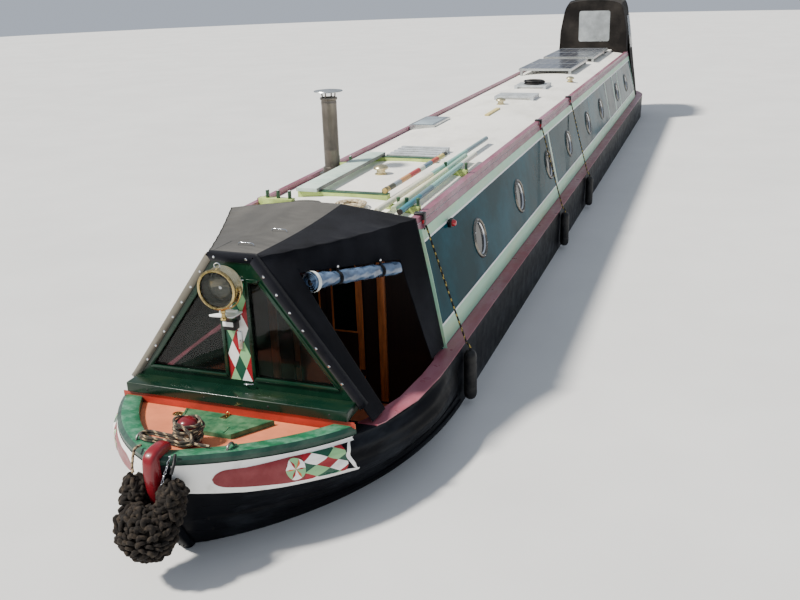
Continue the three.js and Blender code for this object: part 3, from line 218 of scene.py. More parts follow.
def timber(name, rgb, along=(1, 1, 14), rough=0.4, coat=0.3):
    """Varnished wood with its grain along one axis."""
    color = linear(*rgb)
    tree = Tree(name)
    stretch = tuple(1 / a for a in along)
    grain = tree.noise(55, 8, stretch, 0.7, 0.4)
    tone = tree.blend(tree.ramp(grain, 0.35, 0.65), shade(color, 0.55), shade(color, 1.35))
    tone = tree.blend(tree.ramp(tree.noise(240, 3, stretch), 0.45, 0.75, 0, 0.5), tone, shade(color, 0.5))
    tree.bump(grain, 0.25, 0.0008)
    return tree.dress(tone, rough, Coat_Weight=coat)


def woven(name, rgb, sun=(120, 112, 104), painted_sun_share=0.0, sheen=0.06):
    """Acrylic canvas: a plain weave, slight fading and soft creases. Painted_sun_share mixes in more of the sun's
    colour as painted sunlight.
    """
    color, pitch = linear(*rgb), 0.0025
    tree = Tree(name)
    fade = tree.ramp(tree.noise(2.2, 6, None, 0.6), 0.42, 0.72)
    # The fade mixes in a little of the sun's colour; painted_sun_share mixes in more of it as painted sunlight
    tone = tree.blend(fade, shade(color, 0.85), tree.blend(0.16 + painted_sun_share, shade(color, 1.2), linear(*sun)))
    waves = [tree.add("TexWave", {"Vector": tree.where, "Scale": 0.314 / pitch, "Distortion": 0.4}, wave_type="BANDS",
                      bands_direction=axis)["Fac"] for axis in "XYZ"]
    weave = tree.math("MULTIPLY", tree.math("ADD", waves[0], waves[1]), waves[2])
    tone = tree.blend(tree.ramp(weave, 0, 1.6, 0, 0.35), tone, shade(color, 0.6))
    creases = tree.noise(9, 6, (1, 0.5, 1.4), 0.6)
    tree.bump(tree.math("ADD", tree.math("MULTIPLY", weave, 0.12), creases), 0.35, 0.006)
    return tree.dress(tone, 0.88, Sheen_Weight=sheen, Specular_IOR_Level=0.06)


def solar_cells(name):
    """Dark cells in a pale grid, with thin lines between them, under a film of dust."""
    tree = Tree(name)
    cells = tree.add("TexBrick", {"Vector": tree.where, "Scale": 1, "Brick Width": 0.15, "Row Height": 0.15,
                                  "Mortar Size": 0.004, "Color1": linear(46, 52, 66), "Color2": linear(58, 64, 80),
                                  "Mortar": linear(150, 152, 150)}, offset=0)["Color"]
    dust = tree.ramp(tree.noise(4, 6), 0.4, 0.8, 0, 0.35)
    return tree.dress(tree.blend(dust, cells, linear(140, 138, 130)),
                      tree.ramp(tree.noise(7, 4), 0.3, 0.8, 0.12, 0.3))


def banded(name, stops):
    """A pole painted in bands. Stops are (where a band starts, aft of the cabin's front, and its colour)."""
    tree = Tree(name)
    place = tree.add("SeparateXYZ", {"Vector": tree.where})["Y"]
    paint = linear(*stops[0][1])
    for at, rgb in stops[1:]:
        paint = tree.blend(tree.math("GREATER_THAN", place, CABIN_FRONT + at), paint, linear(*rgb))
    scuff = tree.ramp(tree.noise(30, 6), 0.55, 0.75, 0, 0.4)
    tree.bump(tree.noise(120, 3), 0.15, 0.0008)
    return tree.dress(tree.blend(scuff, paint, linear(120, 112, 96)), 0.4)


M = {
    "hull": surface("hull_bitumen", (14, 15, 19), 0.4, vary=0.35, dirt_and_painted_light=((50, 54, 60), 0.26, 3, (1, 0.3, 2)),
                    bump=(0.25, 40), gloss=0.05),
    # The gunwale's pale pink patches are painted sky reflection, not dirt
    "gunwale": surface("gunwale_maroon", (150, 66, 80), 0.34, vary=0.12, dirt_and_painted_light=((186, 138, 150), 0.4, 3, (1, 0.3, 1)),
                       wear=((190, 170, 166), 0.01), gloss=0.6),
    # The handrail's pale pink patches are painted sky reflection, not dirt
    "rail": surface("handrail_maroon", (120, 58, 74), 0.35, vary=0.12, dirt_and_painted_light=((168, 132, 150), 0.5, 3, (1, 0.25, 1))),
    "stem": surface("stem_red", (122, 20, 30), 0.28, coat=0.3, vary=0.18, dirt_and_painted_light=((70, 22, 28), 0.3),
                    wear=((60, 24, 24), 0.01)),
    "rim": surface("rim_green", (32, 100, 68), 0.42, vary=0.25, scale=5, dirt_and_painted_light=((118, 164, 138), 0.4, 12),
                   wear=((170, 198, 174), 0.04), bump=(0.3,)),
    "cant": surface("rim_edge_green", (16, 52, 42), 0.4, vary=0.25, scale=6,
                    dirt_and_painted_light=((86, 104, 92), 0.4, 3, (1, 0.4, 1))),
    "lid": surface("lid_green", (38, 90, 60), 0.5, vary=0.28, scale=6, dirt_and_painted_light=((114, 150, 110), 0.45, 11),
                   wear=((160, 174, 124), 0.06), bump=(0.3, 60)),
    "deck": surface("deck_salmon", (226, 130, 88), 0.65, vary=0.12, scale=5, dirt_and_painted_light=((184, 106, 78), 0.4),
                    bump=(0.4, 220)),
    "coaming": surface("coaming_red", (170, 58, 44), 0.42, vary=0.15, dirt_and_painted_light=((120, 54, 40), 0.35, 6)),
    "sill": surface("sill_green", (7, 36, 25), 0.28, coat=0.08, vary=0.2, dirt_and_painted_light=((44, 56, 34), 0.35, 5, (0.4, 1, 1)),
                    wear=((104, 76, 52), 0.025), gloss=0.3),
    "board": surface("board_green", (8, 42, 27), 0.22, coat=0.15, vary=0.15, dirt_and_painted_light=((36, 60, 44), 0.2), gloss=0.3),
    # The pale blue patches on the cabin's teal are painted sky reflection
    "teal": surface("cabin_teal", (8, 52, 60), 0.12, vary=0.3, scale=0.8,
                    dirt_and_painted_light=((16, 96, 114), 0.42, 1.1, (1, 0.7, 0.8)), bump=(0.05, 2.5, 0.004), gloss=0.012),
    "mint": surface("band_pale_green", (156, 206, 176), 0.35, coat=0.05, vary=0.06,
                    dirt_and_painted_light=((190, 204, 158), 0.35, 3, (1, 0.4, 3))),
    "line": surface("line_white", (236, 240, 238), 0.35, vary=0.04, dirt_and_painted_light=((196, 202, 192), 0.3)),
    "roof": surface("roof_cream", (248, 246, 238), 0.5, vary=0.04, scale=1.5,
                    dirt_and_painted_light=((206, 202, 190), 0.3, 2.5, (1, 0.4, 1)), bump=(0.3, 260, 0.0006)),
    "white": surface("flash_white", (246, 245, 240), 0.35, vary=0.04, dirt_and_painted_light=((196, 194, 184), 0.2, 7)),
    "panel_red": surface("flash_red", (118, 26, 34), 0.35, vary=0.1, dirt_and_painted_light=((142, 66, 70), 0.3, 5)),
    "orange": surface("rosette_orange", (206, 96, 50), 0.35, vary=0.15),
    "diamond_red": surface("diamond_red", (150, 20, 34), 0.3, vary=0.12),
    "diamond_pale": surface("diamond_pale_green", (138, 190, 134), 0.35, vary=0.08),
    "diamond_dark": surface("diamond_green", (20, 78, 58), 0.3, vary=0.12),
    "brass": surface("brass_polished", (190, 168, 112), 0.26, 1.0, vary=0.18, scale=12, dirt_and_painted_light=((96, 78, 46), 0.35, 30),
                     bump=(0.1,)),
    "pale_brass": surface("brass_pale", (214, 204, 166), 0.3, 1.0, vary=0.12, scale=12,
                          dirt_and_painted_light=((150, 134, 90), 0.35, 24), bump=(0.1,)),
    "chrome": surface("chrome", (205, 208, 212), 0.1, 1.0, vary=0.05, scale=20),
    "bezel": surface("porthole_bezel", (120, 116, 108), 0.25, 1.0, vary=0.2, scale=20, dirt_and_painted_light=((60, 56, 50), 0.3)),
    "mirror": surface("lamp_mirror", (96, 92, 80), 0.08, 1.0, vary=0.6, scale=9, dirt_and_painted_light=((34, 30, 22), 0.6, 11),
                      bump=(0.3, 14, 0.004)),
    "steel": surface("steel_worn", (128, 128, 124), 0.38, 0.9, vary=0.2, scale=10, dirt_and_painted_light=((80, 70, 60), 0.3)),
    "alloy": surface("alloy_frame", (196, 200, 200), 0.3, 0.9, vary=0.08, scale=10, dirt_and_painted_light=((120, 120, 114),)),
    "pipe": surface("chimney_metal", (118, 112, 104), 0.38, 0.8, vary=0.3, scale=6,
                    dirt_and_painted_light=((56, 50, 44), 0.5, 9, (1, 1, 0.12)), bump=(0.2, 30)),
    "black": surface("black_satin", (20, 20, 22), 0.4, vary=0.25, dirt_and_painted_light=((60, 60, 60), 0.2)),
    "rubber": surface("rubber", (20, 20, 22), 0.5, vary=0.3, dirt_and_painted_light=((70, 68, 64), 0.3, 10), bump=(0.3, 70)),
    "lime": surface("bearer_green", (186, 206, 120), 0.45, vary=0.12, dirt_and_painted_light=((110, 136, 70), 0.35, 9)),
    "plank": surface("plank_mint", (206, 224, 212), 0.5, vary=0.06, dirt_and_painted_light=((150, 186, 170), 0.4, 6), bump=(0.3, 180)),
    "plank_edge": surface("plank_edge", (128, 132, 128), 0.5, vary=0.12, dirt_and_painted_light=((90, 92, 88), 0.3)),
    "rack": surface("rack_green", (46, 78, 58), 0.45, vary=0.2, dirt_and_painted_light=((96, 120, 84), 0.35, 14)),
    "slat": surface("slat_grey", (190, 196, 200), 0.45, vary=0.1, dirt_and_painted_light=((120, 122, 118), 0.35, 12)),
    "rope_dark": surface("rope_dark", (48, 41, 34), 0.9, vary=0.4, scale=30, dirt_and_painted_light=((104, 94, 78), 0.35, 40),
                         bump=(0.8, 700), sheen=0.2),
    "rope_tan": surface("rope_tan", (168, 146, 112), 0.9, vary=0.3, scale=30, dirt_and_painted_light=((96, 84, 66), 0.4, 40),
                        bump=(0.8, 700), sheen=0.2),
    "rope_pale": surface("rope_pale", (214, 200, 168), 0.85, vary=0.25, scale=30, dirt_and_painted_light=((120, 104, 74), 0.4, 40),
                         bump=(0.8, 700), sheen=0.2),
    "rope_yellow": surface("rope_yellow", (196, 170, 90), 0.8, vary=0.2, scale=40, dirt_and_painted_light=((140, 110, 60), 0.3, 60),
                           bump=(0.8, 700)),
    "rope_black": surface("rope_black", (26, 24, 24), 0.85, vary=0.3, scale=40, bump=(0.8, 700)),
    "fender_rope": surface("fender_rope", (25, 20, 16), 0.95, vary=0.55, scale=16, dirt_and_painted_light=((84, 72, 58), 0.26, 30),
                           bump=(0.8, 240, 0.002)),
    "fender_core": surface("fender_core", (22, 19, 17), 1.0, vary=0.4, scale=20, bump=(1.0, 300, 0.003), gloss=0.1),
    "lamp_red": surface("lens_red", (190, 20, 34), 0.12, coat=1.0, vary=0.1),
    "lamp_green": surface("lens_green", (20, 130, 70), 0.12, coat=1.0, vary=0.1),
    # The porthole glass is an opaque near-black pane as painted shade of the cabin behind it, and its paler patches
    # are painted reflection
    "dark_glass": surface("dark_glass", (14, 17, 19), 0.05, vary=0.4, scale=4, dirt_and_painted_light=((44, 52, 56), 0.35, 5),
                          gloss=0.16),
    "prop": surface("propeller_bronze", (150, 120, 70), 0.35, 0.9, vary=0.25, scale=14, dirt_and_painted_light=((60, 80, 60),)),
    "underwater": surface("underwater_black", (20, 22, 24), 0.6, vary=0.4, dirt_and_painted_light=((60, 66, 48), 0.5)),
    "bar_tan": surface("bar_tan", (214, 196, 130), 0.5, vary=0.15, dirt_and_painted_light=((150, 140, 90), 0.3)),
    "glass": clear("pane_glass", (20, 24, 22), 0.03, 0.5, gloss=0.35),
    "lamp_glass": clear("lamp_glass", (120, 124, 118), 0.02, 0.07, gloss=0.3),
    "window_film": clear("clear_window", (176, 182, 184), 0.08, 0.5),
    # The rolled curtain's darker patches are painted shade in its creases and painted dark reflection
    "curtain": surface("clear_curtain", (92, 116, 146), 0.16, coat=0.6, vary=0.35, scale=6,
                       dirt_and_painted_light=((44, 54, 74), 0.36, 9), bump=(0.9, 16, 0.014), gloss=0.7),
    "wood": timber("varnished_wood", (196, 112, 58)),
    "wood_dark": timber("dark_wood", (34, 18, 12), rough=0.5, coat=0.1),
    "wood_deck": timber("cabin_boards", (130, 88, 52), (1, 14, 1), 0.55, 0.1),
    "canvas": woven("canopy_canvas", (15, 16, 22), sun=(70, 72, 80)),
    # Paler copies of the black canvas for its ridge, tail and starboard hem: painted sunlight, not another cloth
    "canvas_top": woven("canopy_canvas_painted_sunlit", (72, 70, 66), sun=(112, 108, 100), painted_sun_share=0.15, sheen=0.2),
    "canvas_edge_painted_sunlit": woven("canopy_sunlit_edge", (112, 108, 98), sun=(140, 134, 122), painted_sun_share=0.25, sheen=0.2),
    "hatch_pane": surface("hatch_pane", (150, 166, 174), 0.05, vary=0.25, scale=3, gloss=0.7),
    "hood": woven("hood_canvas", (34, 32, 31)),
    "cells": solar_cells("solar_cells"),
}


# ---- Meshes ----
def placed(name, data, body):
    """A new object in the scene, riding on a body."""
    obj = bpy.data.objects.new(name, data)
    bpy.context.scene.collection.objects.link(obj)
    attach(obj, body)
    return obj


def from_bmesh(name, bm, material, body="hull", angle=35):
    """An object from a bmesh, with smooth faces, and with sharp edges where an angle is given."""
    data = bpy.data.meshes.new(name)
    bm.to_mesh(data)
    bm.free()
    for polygon in data.polygons:
        polygon.use_smooth = True
    data.materials.append(M[material] if isinstance(material, str) else material)
    obj = placed(name, data, body)
    return sharpen(obj, angle) if angle else obj


def build(name, verts, faces, material, body="hull", angle=None):
    data = bpy.data.meshes.new(name)
    data.from_pydata([tuple(v) for v in verts], [], faces)
    data.validate()
    bm = bmesh.new()
    bm.from_mesh(data)
    bpy.data.meshes.remove(data)
    bmesh.ops.recalc_face_normals(bm, faces=bm.faces)
    return from_bmesh(name, bm, material, body, angle)


def sharpen(obj, degrees):
    """Sharp edges where the faces turn by more than an angle."""
    bm = bmesh.new()
    bm.from_mesh(obj.data)
    for edge in bm.edges:
        if len(edge.link_faces) == 2:
            edge.smooth = edge.calc_face_angle(0) < math.radians(degrees)
    bm.to_mesh(obj.data)
    bm.free()
    return obj


def grid_faces(rows, columns, wrap=False, start=0):
    faces = []
    for a in (start + i * columns for i in range(rows - 1)):
        for j in range(columns if wrap else columns - 1):
            k = (j + 1) % columns
            faces.append((a + j, a + k, a + columns + k, a + columns + j))
    return faces


def skin(name, rows, material, body="hull", wrap=False, ends=False, angle=40, loop=False):
    """A surface through rows of points. Wrap closes each row, ends closes the first and the last row, and loop
    joins the last row to the first."""
    columns = len(rows[0])
    verts = [p for row in rows for p in row]
    faces = grid_faces(len(rows), columns, wrap)
    last = (len(rows) - 1) * columns
    if ends:
        faces.append(tuple(range(columns)))
        faces.append(tuple(last + j for j in reversed(range(columns))))
    if loop:
        faces += [(last + j, last + (j + 1) % columns, (j + 1) % columns, j) for j in range(columns)]
    return build(name, verts, faces, material, body, angle)


def thicken(obj, thickness, offset):
    modifier = obj.modifiers.new("thickness", "SOLIDIFY")
    modifier.thickness = thickness
    modifier.offset = offset


def lathe(name, at, profile, material, axis=UP, sides=48, body="hull"):
    """A turned piece from (radius, distance along the axis) pairs. Radius 0 at an end closes it, and a profile with
    a radius at both ends is a ring that closes on itself."""
    turn = Vector(UP).rotation_difference(Vector(axis).normalized())
    rows = []
    for radius, along in profile:
        radius = max(radius, 1e-4)
        angles = [i / sides * math.tau for i in range(sides)]
        rows.append([Vector(at) + turn @ Vector((radius * math.cos(a), radius * math.sin(a), along)) for a in angles])
    hollow = profile[0][0] > 0 and profile[-1][0] > 0
    return skin(name, rows, material, body, wrap=True, ends=not hollow, angle=35, loop=hollow)


def frames_along(path):
    """Directions across a path that don't twist."""
    tangents = [(path[min(i + 1, len(path) - 1)] - path[max(i - 1, 0)]).normalized() for i in range(len(path))]
    side = tangents[0].orthogonal().normalized()
    out = []
    for i, tangent in enumerate(tangents):
        if i:
            side = tangents[i - 1].rotation_difference(tangent) @ side
        side = (side - tangent * side.dot(tangent)).normalized()
        out.append((side, tangent.cross(side)))
    return out


def sweep(name, path, radius, material, body="hull", sides=14, strands=0, lay=0.1, depth=0.16, tints=()):
    """A round bar along a path, or a laid rope where it has strands. Lay is the length of one turn of a strand,
    depth is that of the grooves, and tints are the materials of the strands by turns."""
    path = [Vector(p) for p in path]
    rows, along, strand_of = [], 0.0, []
    for i, ((a, b), p) in enumerate(zip(frames_along(path), path)):
        if i:
            along += (p - path[i - 1]).length
        r = radius(i / (len(path) - 1)) if callable(radius) else radius
        ring = []
        for turn in (k / sides * math.tau for k in range(sides)):
            size = r
            if strands:
                phase = strands * (turn - along / lay * math.tau)
                size = r * (1 - depth + depth * abs(math.cos(phase / 2)) ** 0.6)
                strand_of.append(int(math.floor((phase + math.pi) / math.tau + 0.5 * strands / sides)) % strands)
            ring.append(p + a * (math.cos(turn) * size) + b * (math.sin(turn) * size))
        rows.append(ring)
    bar = skin(name, rows, material, body, wrap=True, ends=True, angle=70 if strands else 50)
    if tints:
        for tint in tints:
            bar.data.materials.append(M[tint])
        for i, polygon in enumerate(bar.data.polygons):
            if i < (len(rows) - 1) * sides:
                polygon.material_index = 1 + strand_of[i] % len(tints)
    return bar


def bevelled(bm, offset, segments=2):
    bmesh.ops.bevel(bm, geom=list(bm.edges), offset=offset, segments=segments, profile=0.5, affect="EDGES")


def block(name, low, high, material, body="hull", bevel=0.004, segments=2):
    """A box with rounded edges."""
    low, high = Vector(map(min, low, high)), Vector(map(max, low, high))
    bm = bmesh.new()
    bmesh.ops.create_cube(bm, size=1)
    for v in bm.verts:
        v.co = Vector((mix(low[i], high[i], v.co[i] + 0.5) for i in range(3)))
    bevelled(bm, min(bevel, min(high - low) * 0.45), segments)
    return from_bmesh(name, bm, material, body)


def prism(name, outline, thick, place, material, body="hull", bevel=0.0):
    """A flat shape with a thickness. Place(u, v, w) puts a point of it, w up to the thickness, in the boat."""
    bm = bmesh.new()
    bottom, top = ([bm.verts.new((u, v, w)) for u, v in outline] for w in (0, thick))
    bm.faces.new(bottom[::-1])
    bm.faces.new(top)
    for i in range(len(outline)):
        j = (i + 1) % len(outline)
        bm.faces.new((bottom[i], bottom[j], top[j], top[i]))
    bmesh.ops.recalc_face_normals(bm, faces=bm.faces)
    if bevel:
        bevelled(bm, bevel)
    for v in bm.verts:
        v.co = place(*v.co)
    bmesh.ops.recalc_face_normals(bm, faces=bm.faces)
    return from_bmesh(name, bm, material, body)


def joined(name, objects):
    """One object on the hull from several. They may differ in material."""
    data = bpy.data.meshes.new(name)
    bm = bmesh.new()
    for obj in objects:
        for material in obj.data.materials:
            if material.name not in data.materials:
                data.materials.append(material)
        places = [data.materials.find(material.name) for material in obj.data.materials]
        before = len(bm.faces)
        bm.from_mesh(obj.data)
        bm.faces.ensure_lookup_table()
        for face in bm.faces[before:]:
            face.material_index = places[face.material_index]
    bm.to_mesh(data)
    bm.free()
    for obj in objects:
        bpy.data.objects.remove(obj)
    return placed(name, data, "hull")


def repaint(obj, material, test):
    """Give another material to the faces that pass a test."""
    obj.data.materials.append(M[material])
    for polygon in obj.data.polygons:
        if test(polygon):
            polygon.material_index = len(obj.data.materials) - 1


def stands_for(piece, node=None):
    """Hide the solid that a piece takes the place of."""
    if node:
        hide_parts(node)


def declare_cord(piece, node=None):
    stands_for(piece, node)


def clip(corners, x0, x1, z0, z1):
    """The part of a convex outline inside a box."""
    for axis, limit, sign in ((0, x0, 1), (0, x1, -1), (1, z0, 1), (1, z1, -1)):
        kept = []
        for a, b in zip(corners, corners[1:] + corners[:1]):
            a_in, b_in = ((p[axis] - limit) * sign > 1e-9 for p in (a, b))
            if a_in:
                kept.append(a)
            if a_in != b_in:
                t = (limit - a[axis]) / (b[axis] - a[axis])
                kept.append((mix(a[0], b[0], t), mix(a[1], b[1], t)))
        corners = kept
    return corners


# ---- The hull's shape, as the part's source has it ----
BOTTOM_PLATE, BOTTOM_HALF, TOP_HALF, HULL_TOP = 0.012, 1.02, 1.04, 1.072
STEM_Y, STEM_HALF, STEM_RAKE = -9.14, 0.014, 0.88
SHOULDER_TOP, SHOULDER_LOW = -7.05, -6.10
SHEER_START, SHEER_RUN, SHEER_RISE = -7.75, 1.35, 0.168
COUNTER_START, STERN_Y = 7.75, 9.145
BULGE = 0.100
BULGE_ROWS = [(0, 0), (0.62, 0), (0.71, 0.2), (0.8, 0.85), (0.86, 1), (0.93, 0.65), (1, 0)]
WATER_Z, GUNWALE_Z, WELL_Z = 0.60, 1.08, 0.55
CABIN_FRONT, CABIN_END = -6.85, 7.45
BOARD_Y, COAMING_Y = -8.16, -8.29
SKIN_OUT = 0.005


def sheer(y):
    return HULL_TOP + SHEER_RISE * max((SHEER_START - y) / SHEER_RUN, 0) ** 1.5


def stem_y(level):
    return STEM_Y + STEM_RAKE * (1 - level) ** 2


def shoulder(level):
    return mix(SHOULDER_LOW, SHOULDER_TOP, level)


def half_width(y, level):
    beam = mix(BOTTOM_HALF, TOP_HALF, level)
    start = shoulder(level)
    if y < start:
        s = min((start - y) / (start - stem_y(level)), 1)
        bulge = BULGE * min(5 * s * (1 - s), 1) * table(BULGE_ROWS, level, True)
        return max(STEM_HALF, beam * (1 - s ** mix(2, 2.6, level)) ** mix(0.85, 0.8, level) + bulge)
    if y > COUNTER_START:
        s = min((y - COUNTER_START) / (STERN_Y - COUNTER_START), 1)
        return max(0.2, beam * math.sqrt(1 - s * s))
    return beam


def level_at(y, z):
    return (z - BOTTOM_PLATE) / (sheer(y) - BOTTOM_PLATE)


def hull_point(side, y, drop, out):
    """A point on the side of the hull, a drop below its top edge."""
    def at(yy, zz):
        return Vector((side * half_width(yy, level_at(yy, zz)), yy, zz))
    z = sheer(y) - drop
    p = at(y, z)
    normal = (at(y + 0.01, z) - at(y - 0.01, z)).cross(at(y, z + 0.01) - at(y, z - 0.01)).normalized()
    if normal.x * side < 0:
        normal = -normal
    return p + normal * out


def hull_skin():
    """A fine skin over the hull's plating, from just under the water to the deck edge."""
    low = level_at(0, WATER_Z - 0.06)
    levels = [mix(low, 1, i / 44) for i in range(45)]
    along = [1 - (1 - i / 54) ** 1.7 for i in range(55)]
    verts, faces = [], []
    for side in (1, -1):
        start = len(verts)
        for level in levels:
            ys = [mix(stem_y(level), shoulder(level), a) for a in along]
            ys += [mix(shoulder(level), COUNTER_START, i / 30) for i in range(1, 31)]
            ys += [mix(COUNTER_START, STERN_Y, math.sin(i / 24 * math.pi / 2)) for i in range(1, 25)]
            for y in ys:
                verts.append(Vector((side * (half_width(y, level) + SKIN_OUT), y,
                                     mix(BOTTOM_PLATE, sheer(y), level))))
        faces += grid_faces(len(levels), len(ys), False, start)
    build("hull_skin", verts, faces, "hull")


def hull_patch(name, side, y0, y1, top, bottom, out, material, columns, rows):
    """Paint on the side of the bow between two curves, given as drops below the top edge."""
    grid = []
    for i in range(columns + 1):
        y = mix(y0, y1, i / columns)
        a, b = top(y), bottom(y)
        grid.append([hull_point(side, y, mix(a, b, j / rows), out) for j in range(rows + 1)])
    return skin(name, grid, material, angle=80)


# Drops below the hull's top edge along the bow, and the places aft of the crescent's two edges at each drop
WHITE_BOTTOM = [(-9.09, 0.175), (-9.05, 0.182), (-8.866, 0.205), (-8.72, 0.210), (-8.57, 0.208), (-8.45, 0.212),
                (-8.30, 0.224)]
FIELD_TOP = [(-9.0, 0.046), (-8.873, 0.045), (-8.696, 0.027), (-8.33, 0.027)]
FIELD_BOTTOM = [(-8.99, 0.152), (-8.952, 0.156), (-8.877, 0.167), (-8.712, 0.182), (-8.588, 0.178), (-8.40, 0.184),
                (-8.31, 0.208)]
CRESCENT_OUTER = [(0.0, -8.313), (0.03, -8.352), (0.07, -8.382), (0.12, -8.382), (0.17, -8.353), (0.224, -8.302)]
CRESCENT_INNER = [(0.0, -8.316), (0.030, -8.368), (0.070, -8.406), (0.121, -8.408), (0.170, -8.374), (0.224, -8.304)]
FLASH_START, FLASH_END, FLASH_TAIL = -9.105, -8.322, -8.303
PANEL_START, PANEL_END, PANEL_ROUND, FIELD_END = -8.994, -8.644, 0.055, -8.413
DIAMOND_AT, DIAMOND_LONG, DIAMOND_HIGH = (-8.583, 0.0665), 0.061, 0.0343
ROSETTE_AT, ROSETTE_SIZE, PETALS = (-8.680, 0.102), (0.044, 0.066), 6


def painted_shape(side, outline, out, material):
    """A flat coloured shape on the side of the bow, from an outline of (place aft, drop)."""
    centre = Vector((sum(p[0] for p in outline) / len(outline), sum(p[1] for p in outline) / len(outline)))
    edge = []
    for a, b in zip(outline, outline[1:] + outline[:1]):
        edge += [Vector(a).lerp(Vector(b), k / 4) for k in range(4)]
    rows = [[hull_point(side, *centre.lerp(p, share), out) for p in edge] for share in (0.02, 0.5, 1)]
    return skin("shape", rows, material, wrap=True, angle=80)


def bow_paint(side, tag):
    """The white flash with its red panel, rosette, diamonds and crescent, on one side of the bow."""
    def bottom(y):
        return table(WHITE_BOTTOM, y)

    def field_top(y):
        return table(FIELD_TOP, y)

    def field_bottom(y):
        return table(FIELD_BOTTOM, y)
    white, field, motif = SKIN_OUT + 0.0015, SKIN_OUT + 0.003, SKIN_OUT + 0.0045
    parts = [
        hull_patch("flash", side, FLASH_START, FIELD_END, lambda y: 0.0, bottom, white, "white", 60, 12),
        hull_patch("flash", side, FIELD_END, FLASH_END, lambda y: 0.0, field_top, white, "white", 12, 3),
        hull_patch("flash", side, FIELD_END, FLASH_TAIL, field_bottom, bottom, white, "white", 16, 3),
    ]
    inner, outer = (catmull([(y, drop, 0) for drop, y in edge], 6) for edge in (CRESCENT_INNER, CRESCENT_OUTER))
    rows = [[hull_point(side, *a.lerp(b, j / 4).xy, white) for j in range(5)] for a, b in zip(inner, outer)]
    parts.append(skin("crescent", rows, "white", angle=80))

    def bulge(y):
        return math.sqrt(max(1 - max(1 - (y - PANEL_START) / PANEL_ROUND, 0) ** 2, 0))

    def panel_edge(which):
        def curve(y):
            middle, reach = (field_top(y) + field_bottom(y)) / 2, (field_bottom(y) - field_top(y)) / 2
            return middle + which * reach * bulge(y)
        return curve
    parts.append(hull_patch("flash_panel", side, PANEL_START, PANEL_END, panel_edge(-1), panel_edge(1), field,
                            "panel_red", 50, 8))
    parts.append(hull_patch("flash_field", side, PANEL_END, FIELD_END, field_top, field_bottom, field, "diamond_dark",
                            20, 8))
    for j in range(-4, 5):
        for i in range(-4, 6):
            x, drop = DIAMOND_AT[0] + (i + j) * DIAMOND_LONG, DIAMOND_AT[1] + (i - j) * DIAMOND_HIGH
            material = (("white", "diamond_red"), ("diamond_dark", "diamond_pale"))[j % 2][i % 2]
            if material == "diamond_dark":
                continue
            corners = [(x - DIAMOND_LONG, drop), (x, drop + DIAMOND_HIGH), (x + DIAMOND_LONG, drop),
                       (x, drop - DIAMOND_HIGH)]
            y = min(max(x, PANEL_END), FIELD_END)
            top, foot = field_top(y) + 0.0005, field_bottom(y) - 0.0005
            shape = clip(corners, PANEL_END + 0.001, FIELD_END - 0.001, top, foot)
            if len(shape) > 2:
                parts.append(painted_shape(side, shape, motif, material))
    rosette = Vector(ROSETTE_AT)

    def on_rim(turn, share=1.0):
        return rosette + Vector((math.cos(turn) * ROSETTE_SIZE[0], math.sin(turn) * ROSETTE_SIZE[1])) * share
    for i in range(PETALS):
        a, b = ((i / PETALS - 0.25 + half / 2 / PETALS) * math.tau for half in (-1, 1))
        petal = [rosette, *(on_rim(mix(a, b, k / 6)) for k in range(7))]
        parts.append(painted_shape(side, petal, motif, "white" if i % 2 else "diamond_pale"))
        tip = on_rim(a, 0.96)
        along = tip - rosette
        across = Vector((-along.y, along.x)).normalized() * 0.0055
        middle = rosette + along * 0.62
        parts.append(painted_shape(side, [rosette, middle + across, tip, middle - across], motif + 0.001,
                                   "orange" if i % 2 else "diamond_red"))
    joined(f"bow_paint_{tag}", parts)


def bow_laps():
    """Low welded lines along the bow's plating, under the painted flash."""
    ys = [mix(-9.0, -7.9, i / 40) for i in range(41)]
    for side, tag in SIDES:
        paths = [[hull_point(side, y, table(WHITE_BOTTOM, y) + 0.098 * k, 0.0006) for y in ys] for k in range(1, 5)]
        joined(f"bow_laps_{tag}", [sweep("lap", path, 0.0035, "hull", sides=8) for path in paths])


def inset_x(y, inset):
    """How far out a line lies that runs inside the deck's edge by an inset."""
    slope = (half_width(y + 0.005, 1) - half_width(y - 0.005, 1)) / 0.01
    return half_width(y, 1) - inset * math.hypot(1, slope)


RIM_STEPS, RIM_CANT_ROWS = 60, 4


def bow_rim():
    """The green edge round the fore deck, with a sloped outer face and rounded corners."""
    section = [(0.0, 0.0), (-0.004, 0.004), (-0.004, 0.030), (0.002, 0.034), (0.022, 0.0485), (0.028, 0.0505),
               (0.075, 0.0512), (0.124, 0.0505), (0.1295, 0.047), (0.13, 0.0)]
    pieces = []
    for side in (1, -1):
        rows = []
        for inset, rise in section:
            start = STEM_Y + 0.004
            while inset_x(start, inset) < STEM_HALF:
                start += 0.002
            ys = [mix(start, COAMING_Y - 0.001, (i / RIM_STEPS) ** 1.4) for i in range(RIM_STEPS + 1)]
            row = [Vector((side * max(inset_x(y, inset), STEM_HALF), y, sheer(y) + 0.0004 + rise)) for y in ys]
            rows.append(row)
        pieces.append(skin("half", rows, "rim", angle=50))
    for piece in pieces:
        repaint(piece, "cant", lambda polygon: polygon.index < RIM_CANT_ROWS * RIM_STEPS)
    rim = joined("bow_rim_plate", pieces)
    stands_for(rim, "bow_rim")


def deck_z(y):
    return sheer(y) + 0.0083


